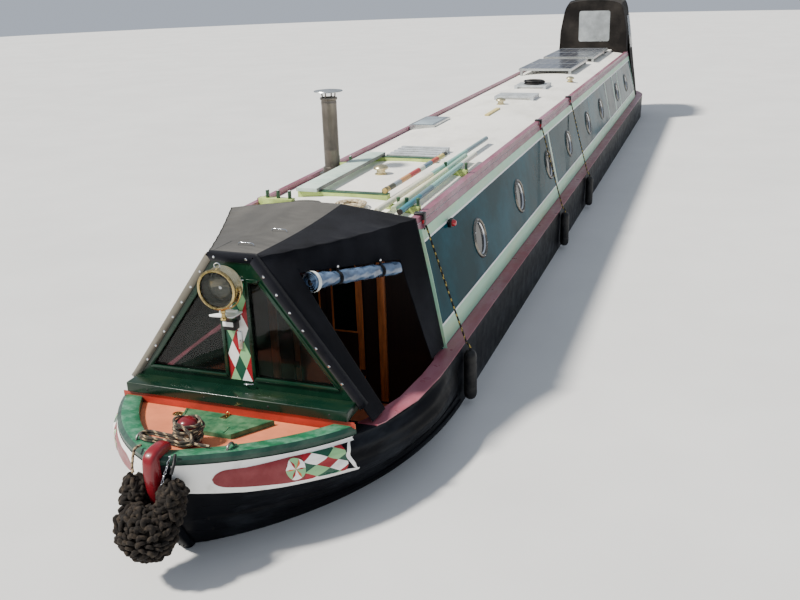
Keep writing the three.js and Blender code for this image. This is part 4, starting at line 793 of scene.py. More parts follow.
def stem_bar():
    """The stem's thick rounded bar, with its head turned back over the deck."""
    deck = sheer(STEM_Y) + 0.0513
    line = []
    for i in range(16):
        level = mix(0.5, 1, i / 15)
        back = stem_y(level) - 0.0003
        line.append((back - mix(0.03, 0.066, min(level / 0.8, 1)), back,
                     mix(BOTTOM_PLATE, sheer(stem_y(level)), level)))
    line += [(STEM_Y + front, STEM_Y + back, deck + rise) for front, back, rise in (
        (-0.058, -0.0003, -0.004), (-0.042, 0.004, 0.024), (-0.012, 0.018, 0.042), (0.03, 0.03, 0.048),
        (0.08, 0.08, 0.046), (0.118, 0.118, 0.036))]
    rows = []
    for k, (front, back, z) in enumerate(line):
        low = z if k < 16 else max(deck - 0.006, z - 0.05)
        row = []
        for i in range(17):
            turn = i / 16 * math.pi
            across = math.copysign(abs(math.cos(turn)) ** 0.6, math.cos(turn))
            reach = math.sin(turn) ** 0.55
            row.append(Vector((0.042 * across, mix(back, front, reach), mix(low, z, reach))))
        rows.append(row)
    bar = skin("stem_bar", rows, "stem", wrap=True, ends=True, angle=60)
    repaint(bar, "hull", lambda polygon: polygon.center.z < 0.86)
    stands_for(bar, "stem_post")


def knots_on(surface_at, rows, around, size):
    """Short thick loops of rope over a shape, staggered and uneven like knotted half hitches.
    Surface_at(u, v) gives a point and the way out, u round the shape and v along it. Around gives a row's count."""
    parts = []
    for j in range(rows):
        count = max(int(around((j + 0.5) / rows)), 3)
        for i in range(count):
            v = (j + 0.5 + random.uniform(-0.3, 0.3)) / rows
            u = (i + 0.5 * (j % 2) + random.uniform(-0.25, 0.25)) / count
            p, out = surface_at(u, v)
            q, _ = surface_at(u + 0.01, v)
            side = Matrix.Rotation(random.uniform(-0.9, 0.9), 3, out) @ (q - p).normalized()
            up = out.cross(side)
            size_here = size * random.uniform(0.85, 1.2)
            width, rise, high = (size_here * random.uniform(*span) for span in ((0.9, 1.15), (0.4, 0.8), (0.25, 0.6)))
            foot = up * rise * 0.7 + out * size * 0.5
            path = [p - side * width * 0.60 - foot, p - side * width * 0.38 + out * high * 0.4,
                    p + up * rise * 0.45 + out * high, p + side * width * 0.38 + out * high * 0.4,
                    p + side * width * 0.60 - foot]
            parts.append(sweep("knot", catmull(path, 3), size_here * random.uniform(0.30, 0.38), "fender_rope",
                               sides=8))
    return parts


def bow_fender():
    """The knotted rope fender over the stem: a round body and two thick arms beside the post."""
    parts = []
    core = Vector((0, STEM_Y - 0.150, GUNWALE_Z - 0.160))
    size = Vector((0.152, 0.106, 0.138))

    def ball(u, v):
        a, b = u * math.tau, mix(0.03, 0.97, v) * math.pi
        r = Vector((math.sin(b) * math.cos(a), math.sin(b) * math.sin(a), math.cos(b)))
        return core + Vector(r[i] * size[i] for i in range(3)), Vector(r[i] / size[i] for i in range(3)).normalized()
    parts += knots_on(ball, 11, lambda v: 20 * math.sin(v * math.pi) + 2, 0.040)
    rows = [[ball(j / 24, i / 12)[0] for j in range(24)] for i in range(13)]
    parts.append(skin("core", rows, "fender_core", wrap=True, ends=True))
    for side in (1, -1):
        spine = catmull([(side * x, STEM_Y + y, GUNWALE_Z + z) for x, y, z in (
            (0.118, -0.020, 0.082), (0.118, -0.030, 0.02), (0.110, -0.062, -0.05), (0.086, -0.108, -0.115))], 12)
        across = frames_along(spine)
        widths = [(0, 0.024), (0.1, 0.050), (0.3, 0.058), (0.7, 0.064), (1, 0.068)]

        def arm(u, v):
            i = min(int(v * (len(spine) - 1)), len(spine) - 1)
            a, b = across[i]
            out = a * math.cos(u * math.tau) + b * math.sin(u * math.tau)
            return spine[i] + out * table(widths, v, True), out
        parts += knots_on(arm, 7, lambda v: 9, 0.038)
        parts.append(sweep("arm_core", spine, lambda t: table(widths, t, True), "fender_core", sides=16))
    fender = joined("bow_rope_fender", parts)
    stands_for(fender, "bow_fender")


def fender_ties():
    """The lashings that hold the bow fender up: a rubber strap, a chain and a short rope."""
    edge = sheer(STEM_Y)
    a, b = Vector((0.105, STEM_Y + 0.055, edge + 0.052)), Vector((0.125, STEM_Y - 0.028, GUNWALE_Z + 0.150))
    sweep("fender_strap", catmull([a, a.lerp(b, 0.5) + Vector((0.012, -0.012, 0.006)), b], 8), 0.009, "rubber",
          sides=10)
    a, b = Vector((0.085, STEM_Y + 0.040, edge + 0.054)), Vector((0.058, STEM_Y - 0.070, GUNWALE_Z + 0.03))
    along = (b - a).normalized()
    links = []
    for i in range(9):
        t = (i + 0.5) / 9
        p = a.lerp(b, t) + Vector((0.006, -0.016, 0)) * math.sin(math.pi * t)
        wide = along.cross(Vector(AFT if i % 2 else (1, 0, 0))).normalized()
        links.append(sweep("link", arc(p, along * 0.0125, wide * 0.006, 12), 0.0018, "chrome", sides=6))
    joined("fender_chain", links)
    lash = catmull([(-0.135, STEM_Y + 0.09, edge + 0.054), (-0.135, STEM_Y + 0.03, edge + 0.058),
                    (-0.128, STEM_Y - 0.015, edge - 0.01), (-0.118, STEM_Y - 0.03, GUNWALE_Z + 0.12)], 10)
    sweep("fender_lashing", lash, 0.008, "rope_tan", sides=10, strands=3, lay=0.03,
          tints=("rope_tan", "rope_dark", "rope_tan"))


LID_RISE, LID_FRONT, LID_BACK = 0.0373, -8.648, -8.352


def locker_lid():
    """Fittings on the locker lid: a lip and a strap hinge at each side, and a brass hasp with its ring."""
    def on_lid(side):
        return lambda u, v, w: Vector((side * u, v, sheer(v) + LID_RISE + w))

    def half(y):
        return mix(0.185, 0.310, (y + 8.65) / 0.30)
    body = "locker lid"
    lip = [(half(y) - inset, y) for y, inset in (
        (LID_FRONT, 0.016), (LID_FRONT, 0.002), (LID_BACK, 0.002), (LID_BACK, 0.016))]
    hinge = [(0.09, -8.644), (0.13, -8.644), (0.118, -8.54), (0.102, -8.54)]
    for side, tag in SIDES:
        prism(f"lid_edge_{tag}", lip, 0.004, on_lid(side), "lid", body, 0.0012)
        prism(f"lid_hinge_{tag}", hinge, 0.004, on_lid(side), "lid", body, 0.001)
    prism("lid_hasp", [(-0.022, -8.43), (0.022, -8.43), (0.016, LID_BACK), (-0.016, LID_BACK)], 0.005, on_lid(1),
          "brass",
          body, 0.0015)
    ring = arc(on_lid(1)(0, -8.365, 0.012), (0.013, 0, 0), (0, 0, 0.010), 16)
    sweep("lid_hasp_ring", ring, 0.003, "brass", body, 8)


STUD_Y = -8.795


def bow_stud():
    z = deck_z(STUD_Y) + 0.0003
    stud = lathe("bow_stud_post", (0, STUD_Y, z), [(0, 0.0), (0.068, 0.0), (0.070, 0.004), (0.070, 0.012),
                                                   (0.066, 0.016),
                 (0.041, 0.018), (0.037, 0.05), (0.036, 0.095), (0.044, 0.103), (0.0575, 0.112), (0.0595, 0.124),
                 (0.056, 0.140),
                 (0.044, 0.154), (0.026, 0.163), (0, 0.1655)], "stem")
    stands_for(stud, "bow_stud")


def coil(centre, start_radius, turns, layers, diameter, height_gap, mess):
    """The centreline of a coil of flat layers that run out and in by turns. Mess throws the turns out of line."""
    per = 20
    path = []
    steps = turns * per
    for layer in range(layers):
        for i in range(steps + (1 if layer == layers - 1 else 0)):
            t = i / steps
            out = t if layer % 2 == 0 else 1 - t
            turn = (layer * turns + t * turns) * math.tau
            wander = mess * (math.sin(turn * 0.71 + layer) + math.sin(turn * 1.31)) * min(out * 3, 1)
            radius = start_radius + out * turns * diameter * 1.04 + wander
            ease = smooth(max((t - 0.9) / 0.1, 0)) if layer < layers - 1 else 0
            z = height_gap * (layer + ease) + mess * 0.8 * (1 + math.sin(turn * 1.77 + 2 * layer)) * layer / layers
            path.append(Vector(centre) + Vector((math.cos(turn) * radius, math.sin(turn) * radius * (1 - mess * 8),
                                                 z)))
    return path


def bow_rope():
    """A pile round the bow stud, a hitch over its head, and a bight of two turns on the deck's edge."""
    d = 0.0175
    foot = deck_z(STUD_Y) + 0.0225 + d / 2
    path = coil((0, STUD_Y, foot), 0.0505, 2, 5, d, d, 0.004)
    hitch = [(0.092 - 0.020 * smooth(i / 8), i / 16 * math.tau,
              0.074 + 0.014 * smooth(i / 5) + 0.020 * smooth(i / 16) + 0.006 * math.sin(i * 1.1) * smooth(i / 5)
              + 0.013 * smooth((i - 19) / 6)) for i in range(1, 27)]
    over = [(-0.026, -8.868, 0.148), (0.012, -8.876, 0.143), (0.048, -8.882, 0.124), (0.080, -8.890, 0.097),
            (0.100, -8.908, 0.073), (0.098, -8.934, 0.060), (0.078, -8.951, 0.056)]
    for k in range(2):
        up = 0.056 + 0.0175 * k
        over += [(x, -8.956 - 0.001 * k, up) for x in (0.050, 0.015, -0.04, -0.10, -0.155)]
        over += [(-0.189, -8.954, up + 0.001), (-0.214, -8.944, up + 0.003), (-0.224, -8.919, up + 0.006),
                 (-0.214, -8.894, up + 0.008), (-0.189, -8.884, up + 0.010)]
        over += [(-0.155, -8.886, up + 0.010), (-0.10, -8.893, up + 0.010), (-0.04, -8.899, up + 0.010)]
        over += ([(0.02, -8.893, up + 0.011), (0.054, -8.889, up + 0.012), (0.078, -8.899, up + 0.013),
                  (0.088, -8.923, up + 0.015), (0.078, -8.947, up + 0.0165)] if k == 0
                 else [(0.04, -8.906, 0.070), (0.12, -8.914, 0.058), (0.205, -8.905, 0.055)])
    tail = [path[-1]] + [Vector((r * math.cos(turn), STUD_Y + r * math.sin(turn), foot + z)) for r, turn, z in hitch]
    tail += [Vector((x, y, sheer(y) + rise + d / 2)) for x, y, rise in over]
    path += catmull(tail, 5)[1:]
    bow = sweep("bow_mooring_rope", path, d / 2, "rope_dark", sides=12, strands=4, lay=0.07,
                tints=("rope_dark", "rope_tan", "rope_dark", "rope_dark"))
    declare_cord(bow, "bow_rope")


def roof_rope():
    d = 0.0155
    path = coil((0.150, CABIN_FRONT + 0.215, 2.0658 + d / 2), 0.0530, 4, 2, d, d * 1.06, 0.002)
    roof = sweep("roof_rope_coil", path, d / 2, "rope_pale", sides=12, strands=3, lay=0.05,
                 tints=("rope_pale", "rope_pale", "rope_tan"))
    declare_cord(roof, "roof_rope")


ROOF_EDGE_Z, ROOF_HALF = 1.995, 0.7237
# How far aft of the cabin's front the hook and the foot of each fender's rope are
FENDERS = [(0.19, 0.13), (4.6, 4.32), (6.7, 6.3)]
FENDER_X, FENDER_RADIUS, FENDER_TOP, FENDER_LONG = 1.097, 0.05, 1.04, 0.40


def side_fenders():
    """Ropes from the rail hooks through the cylindrical fenders, ending in a knot under each."""
    radius = 0.007
    for i, (y, foot) in enumerate(FENDERS, 1):
        at, end = CABIN_FRONT + y, CABIN_FRONT + foot
        hook = ROOF_HALF + 0.020 + radius + 0.0003
        edge = TOP_HALF + 0.006 + radius + 0.002
        route = [(hook, at, ROOF_EDGE_Z - 0.030), (mix(hook, edge, 0.5), mix(at, end, 0.5),
                                                   mix(ROOF_EDGE_Z, GUNWALE_Z, 0.5)),
                 (edge - 0.002, end, GUNWALE_Z + 0.060), (edge + 0.014, end, GUNWALE_Z + 0.020),
                 (FENDER_X, end, FENDER_TOP + 0.026), (FENDER_X, end, FENDER_TOP + 0.001),
                 (FENDER_X, end, FENDER_TOP - 0.2), (FENDER_X, end, FENDER_TOP - FENDER_LONG + 0.012)]
        path = catmull(route, 24)
        fender = lathe(f"cylinder_fender_{i}", (FENDER_X, end, FENDER_TOP - FENDER_LONG), [
            (0, 0.004), (0.012, 0.0), (0.022, 0.002), (0.036, 0.012), (0.046, 0.030), (FENDER_RADIUS, 0.055),
            (FENDER_RADIUS, 0.10), (0.0488, 0.104), (FENDER_RADIUS, 0.108), (FENDER_RADIUS, 0.292), (0.0488, 0.296),
            (FENDER_RADIUS, 0.30), (FENDER_RADIUS, 0.345), (0.046, 0.370), (0.036, 0.388), (0.022, 0.398),
            (0.012, 0.4),
            (0, 0.396)], "rubber", sides=36)
        stands_for(fender, f"side_fender_{i}")
        rope = sweep(f"fender_lanyard_{i}", path, radius, "rope_yellow", sides=12, strands=4, lay=0.06, depth=0.12,
                     tints=("rope_black", "rope_yellow", "rope_black", "rope_black"))
        declare_cord(rope, f"fender_rope_{i}")


bow_rope()
roof_rope()
side_fenders()
hull_skin()
for side, tag in SIDES:
    bow_paint(side, tag)
bow_laps()
bow_rim()
stem_bar()
bow_fender()
fender_ties()
locker_lid()
bow_stud()


# ---- Fore deck, sill and cratch board ----
def bow_fittings():
    """The coaming's face, the sill with its screws, the filler plate and the two mooring rings."""
    block("coaming_face", (-0.815, COAMING_Y - 0.0042, sheer(COAMING_Y) + 0.012), (0.815, COAMING_Y - 0.0013, 1.1926),
          "coaming", bevel=0.001)
    sill = block("sill_plank", (-0.778, COAMING_Y - 0.016, 1.1930), (0.778, BOARD_Y + 0.04, 1.2597), "sill",
                 bevel=0.008, segments=3)
    stands_for(sill, "cratch_sill")
    for x in (-0.62, -0.2, 0.25, 0.66):
        lathe("sill_screw", (x, COAMING_Y - 0.016, 1.224), [(0, -0.002), (0.006, -0.002), (0.008, 0.0005)], "black",
              AFT, 12)
    y = -8.40
    cap = lathe("deck_filler_plate", (-0.32, y, deck_z(y) + 0.0004), [
        (0, 0), (0.045, 0), (0.045, 0.003), (0.036, 0.006), (0.034, 0.004), (0.010, 0.004), (0.009, 0.007),
        (0, 0.007)], "brass")
    cap.scale = (1.25, 0.85, 1)
    cap.location = (0.32 * 0.25, y * 0.15, 0)
    for side, y in ((1, -8.86), (-1, -8.92)):
        x, z = side * inset_x(y, 0.07), sheer(y) + 0.052
        sweep("mooring_ring", arc((x, y, z), (0, 0.035, 0), (0, 0, 0.030), 14, math.pi), 0.007, "steel", sides=10)
        block("ring_foot", (x - 0.016, y - 0.05, z - 0.001), (x + 0.016, y + 0.05, z + 0.006), "rim", bevel=0.002)


BOARD_BASE_Z, BOARD_TOP_Z = 1.26, 2.13
BOARD_BASE_HALF, BOARD_TOP_HALF = 0.815, 0.16
PANE_LOW, PANE_HIGH = 1.33, 1.98
MIDDLE_HALF, STILE, BEAD_HALF, STRIP_HALF = 0.095, 0.09, 0.012, 0.080


def board_half(z):
    return mix(BOARD_BASE_HALF, BOARD_TOP_HALF, (z - BOARD_BASE_Z) / (BOARD_TOP_Z - BOARD_BASE_Z))


def on_board(u, v, w):
    return Vector((u, BOARD_Y - w - 0.0004, v))


def cratch_board():
    """Glazing beads, glass, and the painted diamonds on the middle post of the board."""
    for side, tag in SIDES:
        outer = [Vector((side * x, z)) for x, z in (
            (MIDDLE_HALF, PANE_LOW), (board_half(PANE_LOW) - STILE, PANE_LOW),
            (board_half(PANE_HIGH) - STILE, PANE_HIGH), (MIDDLE_HALF, PANE_HIGH))]
        middle = sum(outer, Vector((0, 0))) / 4
        prism(f"cratch_glass_{tag}", [p.lerp(middle, -0.01) for p in outer], 0.005,
              lambda u, v, w: Vector((u, BOARD_Y + 0.020 - w, v)), "glass")
        for i in range(4):
            a, b = outer[i], outer[(i + 1) % 4]
            along = (b - a).normalized() * BEAD_HALF
            n = Vector((along.y, -along.x))
            if n.dot(middle - (a + b) / 2) < 0:
                n = -n
            prism(f"glazing_bead_{tag}", [a - n, b - n, b + n - along, a + n + along], 0.010, on_board, "board",
                  bevel=0.0025)
    half_wide, half_high = 0.040, 0.092
    low, high = PANE_LOW - 0.022, PANE_HIGH - 0.02
    parts = [prism("back", [(-STRIP_HALF, low), (STRIP_HALF, low), (STRIP_HALF, high), (-STRIP_HALF, high)], 0.0012,
                   on_board, "diamond_dark")]
    for j in range(16):
        z = low + (j - 0.1) * half_high
        for i in range(5):
            if (i + j) % 2 == 0:
                continue
            x = -STRIP_HALF + i * half_wide
            if j % 2 == 0:
                material = "white" if (i == 3) == (j % 4 == 0) else "diamond_pale"
            else:
                material = "diamond_red" if (i == 2) == (j % 4 == 3) else "diamond_dark"
            shape = clip([(x - half_wide, z), (x, z - half_high), (x + half_wide, z), (x, z + half_high)],
                         -STRIP_HALF, STRIP_HALF, low, high)
            if len(shape) > 2 and material != "diamond_dark":
                parts.append(prism("diamond", shape, 0.0022, on_board, material))
    joined("board_diamonds", parts)
    for z in (1.985, 1.292):
        path = catmull([(x, BOARD_Y - out, z + rise) for x, out, rise in (
            (0.02, 0.002, -0.006), (0.025, 0.022, 0), (0.06, 0.026, 0.003), (0.085, 0.012, 0.002))], 8)
        sweep("cabin_hook", path, 0.0045, "chrome", sides=10)


LAMP_Z, LAMP_FRONT, ON_BOARD = GUNWALE_Z + 0.895, BOARD_Y - 0.190, BOARD_Y - 0.0003


def headlamp():
    """A deep round lamp: a pale drum with a brass rim, a dark throat and a mirror at its back, in a yoke."""
    r, deep = 0.121, 0.098
    at = (0, LAMP_FRONT, LAMP_Z)
    axle = LAMP_FRONT + 0.052
    bowl = lathe("lamp_drum", at, [
        (r - 0.008, 0.012), (r - 0.007, 0.0), (r + 0.001, -0.002), (r + 0.003, 0.004), (r + 0.003, 0.012), (r, 0.016),
        (r, deep - 0.004), (r + 0.002, deep), (r, deep + 0.006), (r * 0.86, deep + 0.022), (r * 0.6, deep + 0.038),
        (0.04, deep + 0.048), (0, deep + 0.050), (0, deep + 0.044), (0.04, deep + 0.042), (r * 0.6, deep + 0.03),
        (r * 0.84, deep + 0.014), (r - 0.004, deep - 0.004), (r - 0.006, 0.014)], "pale_brass", AFT, 72)
    stands_for(bowl, "headlamp")
    rim = lathe("lamp_rim", at, [(r - 0.0095, 0.010), (r - 0.010, -0.0015), (r - 0.002, -0.005), (r + 0.005, -0.002),
                                 (r + 0.006, 0.006), (r + 0.0045, 0.013)], "brass", AFT, 72)
    throat = lathe("lamp_throat", at, [(r - 0.0085, 0.004), (r - 0.0075, deep - 0.01), (r * 0.80, deep + 0.008)],
                   "fender_core", AFT, 64)
    lathe("lamp_mirror", at, [(0, deep + 0.028), (0.03, deep + 0.025), (0.06, deep + 0.014), (0.09, deep - 0.008),
                              (r * 0.80, deep - 0.022), (r * 0.81, deep - 0.018), (0.06, deep + 0.022),
                              (0, deep + 0.034)], "mirror", AFT, 56)
    lathe("lamp_lens", at, [(0, 0.004), (0.05, 0.005), (r - 0.009, 0.009), (r - 0.009, 0.012), (0.05, 0.008),
                            (0, 0.007)], "lamp_glass", AFT, 56)
    lathe("lamp_bulb", at, [(0, 0.045), (0.010, 0.048), (0.015, 0.062), (0.010, 0.082), (0.012, 0.118), (0, 0.119)],
          "chrome", AFT, 20)
    block("lamp_arm", (-0.018, LAMP_FRONT + deep + 0.04, LAMP_Z - 0.014), (0.018, ON_BOARD, LAMP_Z + 0.014), "brass",
          bevel=0.006)
    block("lamp_foot", (-0.035, BOARD_Y - 0.012, LAMP_Z - 0.05), (0.035, ON_BOARD, LAMP_Z + 0.05), "brass",
          bevel=0.004)
    yoke = arc((0, axle, LAMP_Z), (0.1335, 0, 0), (0, 0, -0.137), 36, math.pi)
    sweep("lamp_yoke", yoke, 0.0055, "brass", sides=10)
    lathe("lamp_pillar", (0, axle, LAMP_Z - 0.205), [
        (0, 0), (0.020, 0), (0.020, 0.010), (0.013, 0.016), (0.011, 0.040), (0.016, 0.046), (0.016, 0.060),
        (0.009, 0.066), (0, 0.068)], "brass", sides=24)
    ring = arc((0, LAMP_FRONT + 0.040, LAMP_Z + r + 0.018), (0.020, 0, 0), (0, 0, 0.017), 20)
    sweep("lamp_ring", ring, 0.0035, "chrome", sides=10)
    block("lamp_ring_foot", (-0.010, LAMP_FRONT + 0.028, LAMP_Z + r - 0.002), (0.010, axle, LAMP_Z + r + 0.008),
          "pale_brass", bevel=0.003)
    for side in (1, -1):
        lathe("lamp_pivot", (side * (r - 0.001), axle, LAMP_Z), [
            (0, 0), (0.013, 0), (0.015, 0.004), (0.013, 0.014), (0.006, 0.018), (0, 0.018)], "brass", (side, 0, 0),
            20)


def horn():
    """White plates under the lamp, a horn between them, a small black box with a white lid, and a hanging tag."""
    z, y = GUNWALE_Z + 0.69, BOARD_Y - 0.09
    plate = prism("lamp_bracket_plate", [
        (-0.115, -0.028), (-0.100, -0.040), (0.050, -0.030), (0.060, 0.075), (0.012, 0.0885), (-0.050, 0.030)], 0.010,
        lambda u, v, w: Vector((u, y + v, z + 0.004 + w)), "line", bevel=0.003)
    bell = lathe("horn_bell", (-0.052, y + 0.02, z + 0.032), [
        (0.025, 0.003), (0.028, 0.0), (0.0275, 0.002), (0.020, 0.014), (0.014, 0.030), (0.010, 0.060), (0.009, 0.095),
        (0.012, 0.105), (0, 0.1055), (0, 0.098), (0.007, 0.09), (0.009, 0.06), (0.016, 0.024)], "line", (1, 0, 0), 32)
    stands_for(bell, "horn")
    block("horn_mount", (0.010, y + 0.012, z - 0.012), (0.040, ON_BOARD, z + 0.006), "chrome", bevel=0.004)
    block("lamp_switch_box", (-0.062, BOARD_Y - 0.060, z - 0.105), (0.022, ON_BOARD, z - 0.045), "black",
          bevel=0.006, segments=3)
    block("box_lid", (-0.060, BOARD_Y - 0.0635, z - 0.078), (0.012, BOARD_Y - 0.0605, z - 0.048), "line", bevel=0.001)
    block("horn_stem", (0.014, BOARD_Y - 0.030, z - 0.05), (0.034, ON_BOARD, z - 0.01), "black", bevel=0.003)
    block("hanging_tag", (0.004, BOARD_Y - 0.011, z - 0.245), (0.036, BOARD_Y - 0.004, z - 0.125), "alloy",
          bevel=0.003)
    lathe("tag_stud", (0.020, BOARD_Y - 0.011, z - 0.185), [(0, -0.003), (0.004, -0.0025), (0.0055, 0)], "steel", AFT,
          14)


bow_fittings()
cratch_board()
headlamp()
horn()


# ---- Canopy over the well deck ----
BACK = CABIN_FRONT - 0.0003
FRONT = BOARD_Y + 0.0403


def canopy_arch(t):
    """Half a section of the canopy, from the middle of its ridge to its foot, as (x, z)."""
    sag = 0.018 * math.sin(math.pi * t)
    return [
        (0.0, mix(2.136, 2.140, t) - sag), (mix(0.150, 0.170, t), mix(2.134, 2.138, t) - sag),
        (mix(0.175, 0.740, t), mix(2.124, 2.065, t) - sag),
        (mix(0.500, 0.828, t) - sag / 2, GUNWALE_Z + 0.56), (mix(0.862, 0.932, t), mix(1.116, 1.106, t)),
    ]


def canopy_point(v, t):
    """V runs from -1, the starboard foot, to 1, the port foot, and t from the board to the cabin."""
    rows = canopy_arch(t)
    spans = [0, 0.18, 0.42, 0.70, 1.0]
    a = abs(v)
    for k in range(4):
        if a <= spans[k + 1]:
            s = (a - spans[k]) / (spans[k + 1] - spans[k])
            x, z = (mix(rows[k][i], rows[k + 1][i], s) for i in (0, 1))
            break
    side = 1 if v >= 0 else -1
    hang = math.sin(math.pi * min(max((a - 0.42) / 0.58, 0), 1)) * math.sin(math.pi * t)
    fold = 0.004 * math.sin(t * 17 + a * 5) * hang + 0.003 * math.sin(t * 41 + a * 13) * hang
    crease = 0.006 * math.exp(-((a - 0.42) / 0.05) ** 2) * math.sin(t * 23 + v * 4)
    return Vector((side * (x - 0.012 * hang - fold), mix(FRONT, BACK, t), z - abs(crease) - 0.004 * hang))


ROLL_FRONT_Z, ROLL_BACK_Z, ROLL_DROP = GUNWALE_Z + 0.845, GUNWALE_Z + 0.705, 0.0487
OPENING_FRONT, OPENING_BACK = BOARD_Y + 0.23, CABIN_FRONT - 0.25


def in_opening(p):
    share = (p.y - OPENING_FRONT) / (OPENING_BACK - OPENING_FRONT)
    return p.x > 0.1 and 0 < share < 1 and p.z < mix(ROLL_FRONT_Z, ROLL_BACK_Z, share) + ROLL_DROP


def sunlit(polygon):
    """Whether a face of the canopy is on its far side or its ridge, where the canvas gets a paler copy of itself as
    painted sunlight.
    """
    p = polygon.center
    return p.x < -0.16 or p.z > 2.05 and abs(p.x) < mix(0.149, 0.169, (p.y - FRONT) / (BACK - FRONT))


PRESS_STUD = [(0, -0.004), (0.006, -0.0035), (0.009, -0.001), (0.009, 0.0015)]


def canopy():
    """The canvas over the well deck with its opening, the hem on the board, seams, handles and press studs."""
    columns, rows = 100, 90
    verts = [canopy_point(mix(-1, 1, j / columns), i / rows) for i in range(rows + 1) for j in range(columns + 1)]
    bm = bmesh.new()
    made = [bm.verts.new(v) for v in verts]
    for face in grid_faces(rows + 1, columns + 1):
        bm.faces.new([made[k] for k in face])
    slope = (ROLL_BACK_Z - ROLL_FRONT_Z) / (OPENING_BACK - OPENING_FRONT)
    for place, normal in (((0, OPENING_FRONT, 0), AFT), ((0, OPENING_BACK, 0), AFT),
                          ((0, OPENING_FRONT, ROLL_FRONT_Z + ROLL_DROP), (0, -slope, 1))):
        bmesh.ops.bisect_plane(bm, geom=[*bm.verts, *bm.edges, *bm.faces], plane_co=place, plane_no=normal)
    bmesh.ops.delete(bm, geom=[f for f in bm.faces if in_opening(f.calc_center_median())], context="FACES")
    bmesh.ops.recalc_face_normals(bm, faces=bm.faces)
    area = sum(f.calc_area() for f in bm.faces)
    cloth = from_bmesh("canopy_cover", bm, "canvas", angle=60)
    # Faces on the ridge and the far side get the paler canvas as painted sunlight
    repaint(cloth, "canvas_top", sunlit)
    on_top, below = ({tuple(sorted(e)) for p in cloth.data.polygons if p.material_index == k for e in p.edge_keys}
                     for k in (1, 0))
    for edge in cloth.data.edges:
        if tuple(sorted(edge.vertices)) in on_top & below:
            edge.use_edge_sharp = True
    thicken(cloth, 0.003, 0)
    # A hem that wraps the edge of the board, with its press studs
    line = [Vector((x, 0, z)) for x, z in
            [(-0.835, 1.24), (-0.815, 1.262), (-0.165, 2.128), (-0.155, 2.137), (0.155, 2.137), (0.165, 2.128),
             (0.815, 1.262), (0.835, 1.24)]]
    outline, inline = [], []
    for i, p in enumerate(line):
        a, b = line[max(i - 1, 0)], line[min(i + 1, len(line) - 1)]
        n = Vector((-(b - a).z, 0, (b - a).x)).normalized()
        if n.z < 0:
            n = -n
        outline.append(p + n * 0.004)
        inline.append(p - n * 0.045)
    rows = [[Vector((p.x, BOARD_Y + 0.042, p.z)) for p in outline],
            [Vector((p.x, BOARD_Y - 0.001, p.z)) for p in outline],
            [Vector((p.x, BOARD_Y - 0.0055, p.z - 0.002)) for p in (o.lerp(n, 0.1) for o, n in zip(outline, inline))],
            [Vector((p.x, BOARD_Y - 0.0045, p.z)) for p in inline]]
    hem = skin("canopy_hem", rows, "canvas", angle=60)
    # The starboard part of the hem gets the paler canvas as painted sunlight
    repaint(hem, "canvas_edge_painted_sunlit", lambda polygon: polygon.center.x < -0.16)
    thicken(hem, 0.003, 0)
    studs = [(side * (mix(0.79, 0.19, i / 7.6) - 0.020), mix(1.275, 2.09, i / 7.6) - 0.012)
             for i in range(1, 8) for side in (1, -1)]
    for x, z in [*studs, (-0.11, 2.115), (0.11, 2.115)]:
        lathe("press_stud", (x, BOARD_Y - 0.006, z), PRESS_STUD, "chrome", AFT, 14)
    # Seams down the corners and the wire handles on top
    def lifted(v, t, lift):
        p = canopy_point(v, t)
        a = canopy_point(v + 0.01, t) - canopy_point(v - 0.01, t)
        b = canopy_point(v, min(t + 0.01, 1)) - canopy_point(v, max(t - 0.01, 0))
        n = a.cross(b).normalized()
        if n.dot(Vector((p.x, 0, p.z - 1.5))) < 0:
            n = -n
        return p + n * lift
    for v, tag in ((0.42, "port"), (-0.42, "starboard")):
        path = [lifted(v, i / 40, 0.002) for i in range(41)]
        sweep(f"canopy_seam_{tag}", path, 0.0035, "canvas", sides=8)
    for t, x in ((0.14, -0.01), (0.43, 0.04)):
        base = lifted(x, t, 0.004)
        path = catmull([base + Vector((-0.055, 0, 0.0)), base + Vector((-0.040, 0, 0.014)), base
                        + Vector((0.040, 0, 0.014)),
                        base + Vector((0.055, 0, 0.0))], 8)
        sweep("canopy_handle", path, 0.0035, "chrome", sides=8)
    stands_for(cloth, "cratch_canopy")


def canopy_back_flap():
    """The tail of the canopy: it drops over the front of the roof and lies there in pleats."""
    rows = []
    for j in range(85):
        v = mix(0.42, -0.42, j / 84)
        start = canopy_point(v, 1)
        reach = table([(0, 0.05), (0.30, 0.06), (0.42, 0.10), (0.80, 0.36), (0.9, 0.30), (1, 0.06)], j / 84, True)
        row = []
        for i in range(21):
            t = i / 20
            x = start.x * mix(1, 0.95, t)
            ground = max(roof_top(x) + 0.004, 2.0465 if abs(x) > 0.655 else 0)
            pleat = 0.009 * max(math.sin(j * 0.9 + t * 2), 0) * math.sin(math.pi * min(t * 1.2, 1))
            row.append(Vector((x, start.y + 0.0015 + reach * t, mix(start.z, ground, smooth(t / 0.45)) + pleat)))
        rows.append(row)
    # The tail gets the paler canvas as painted sunlight
    flap = skin("canopy_tail", rows, "canvas_top", angle=60)
    thicken(flap, 0.003, 1)


def roof_top(x):
    return ROOF_EDGE_Z + 0.070 * (1 - (x / ROOF_HALF) ** 2)


STRAP_STEPS = 24


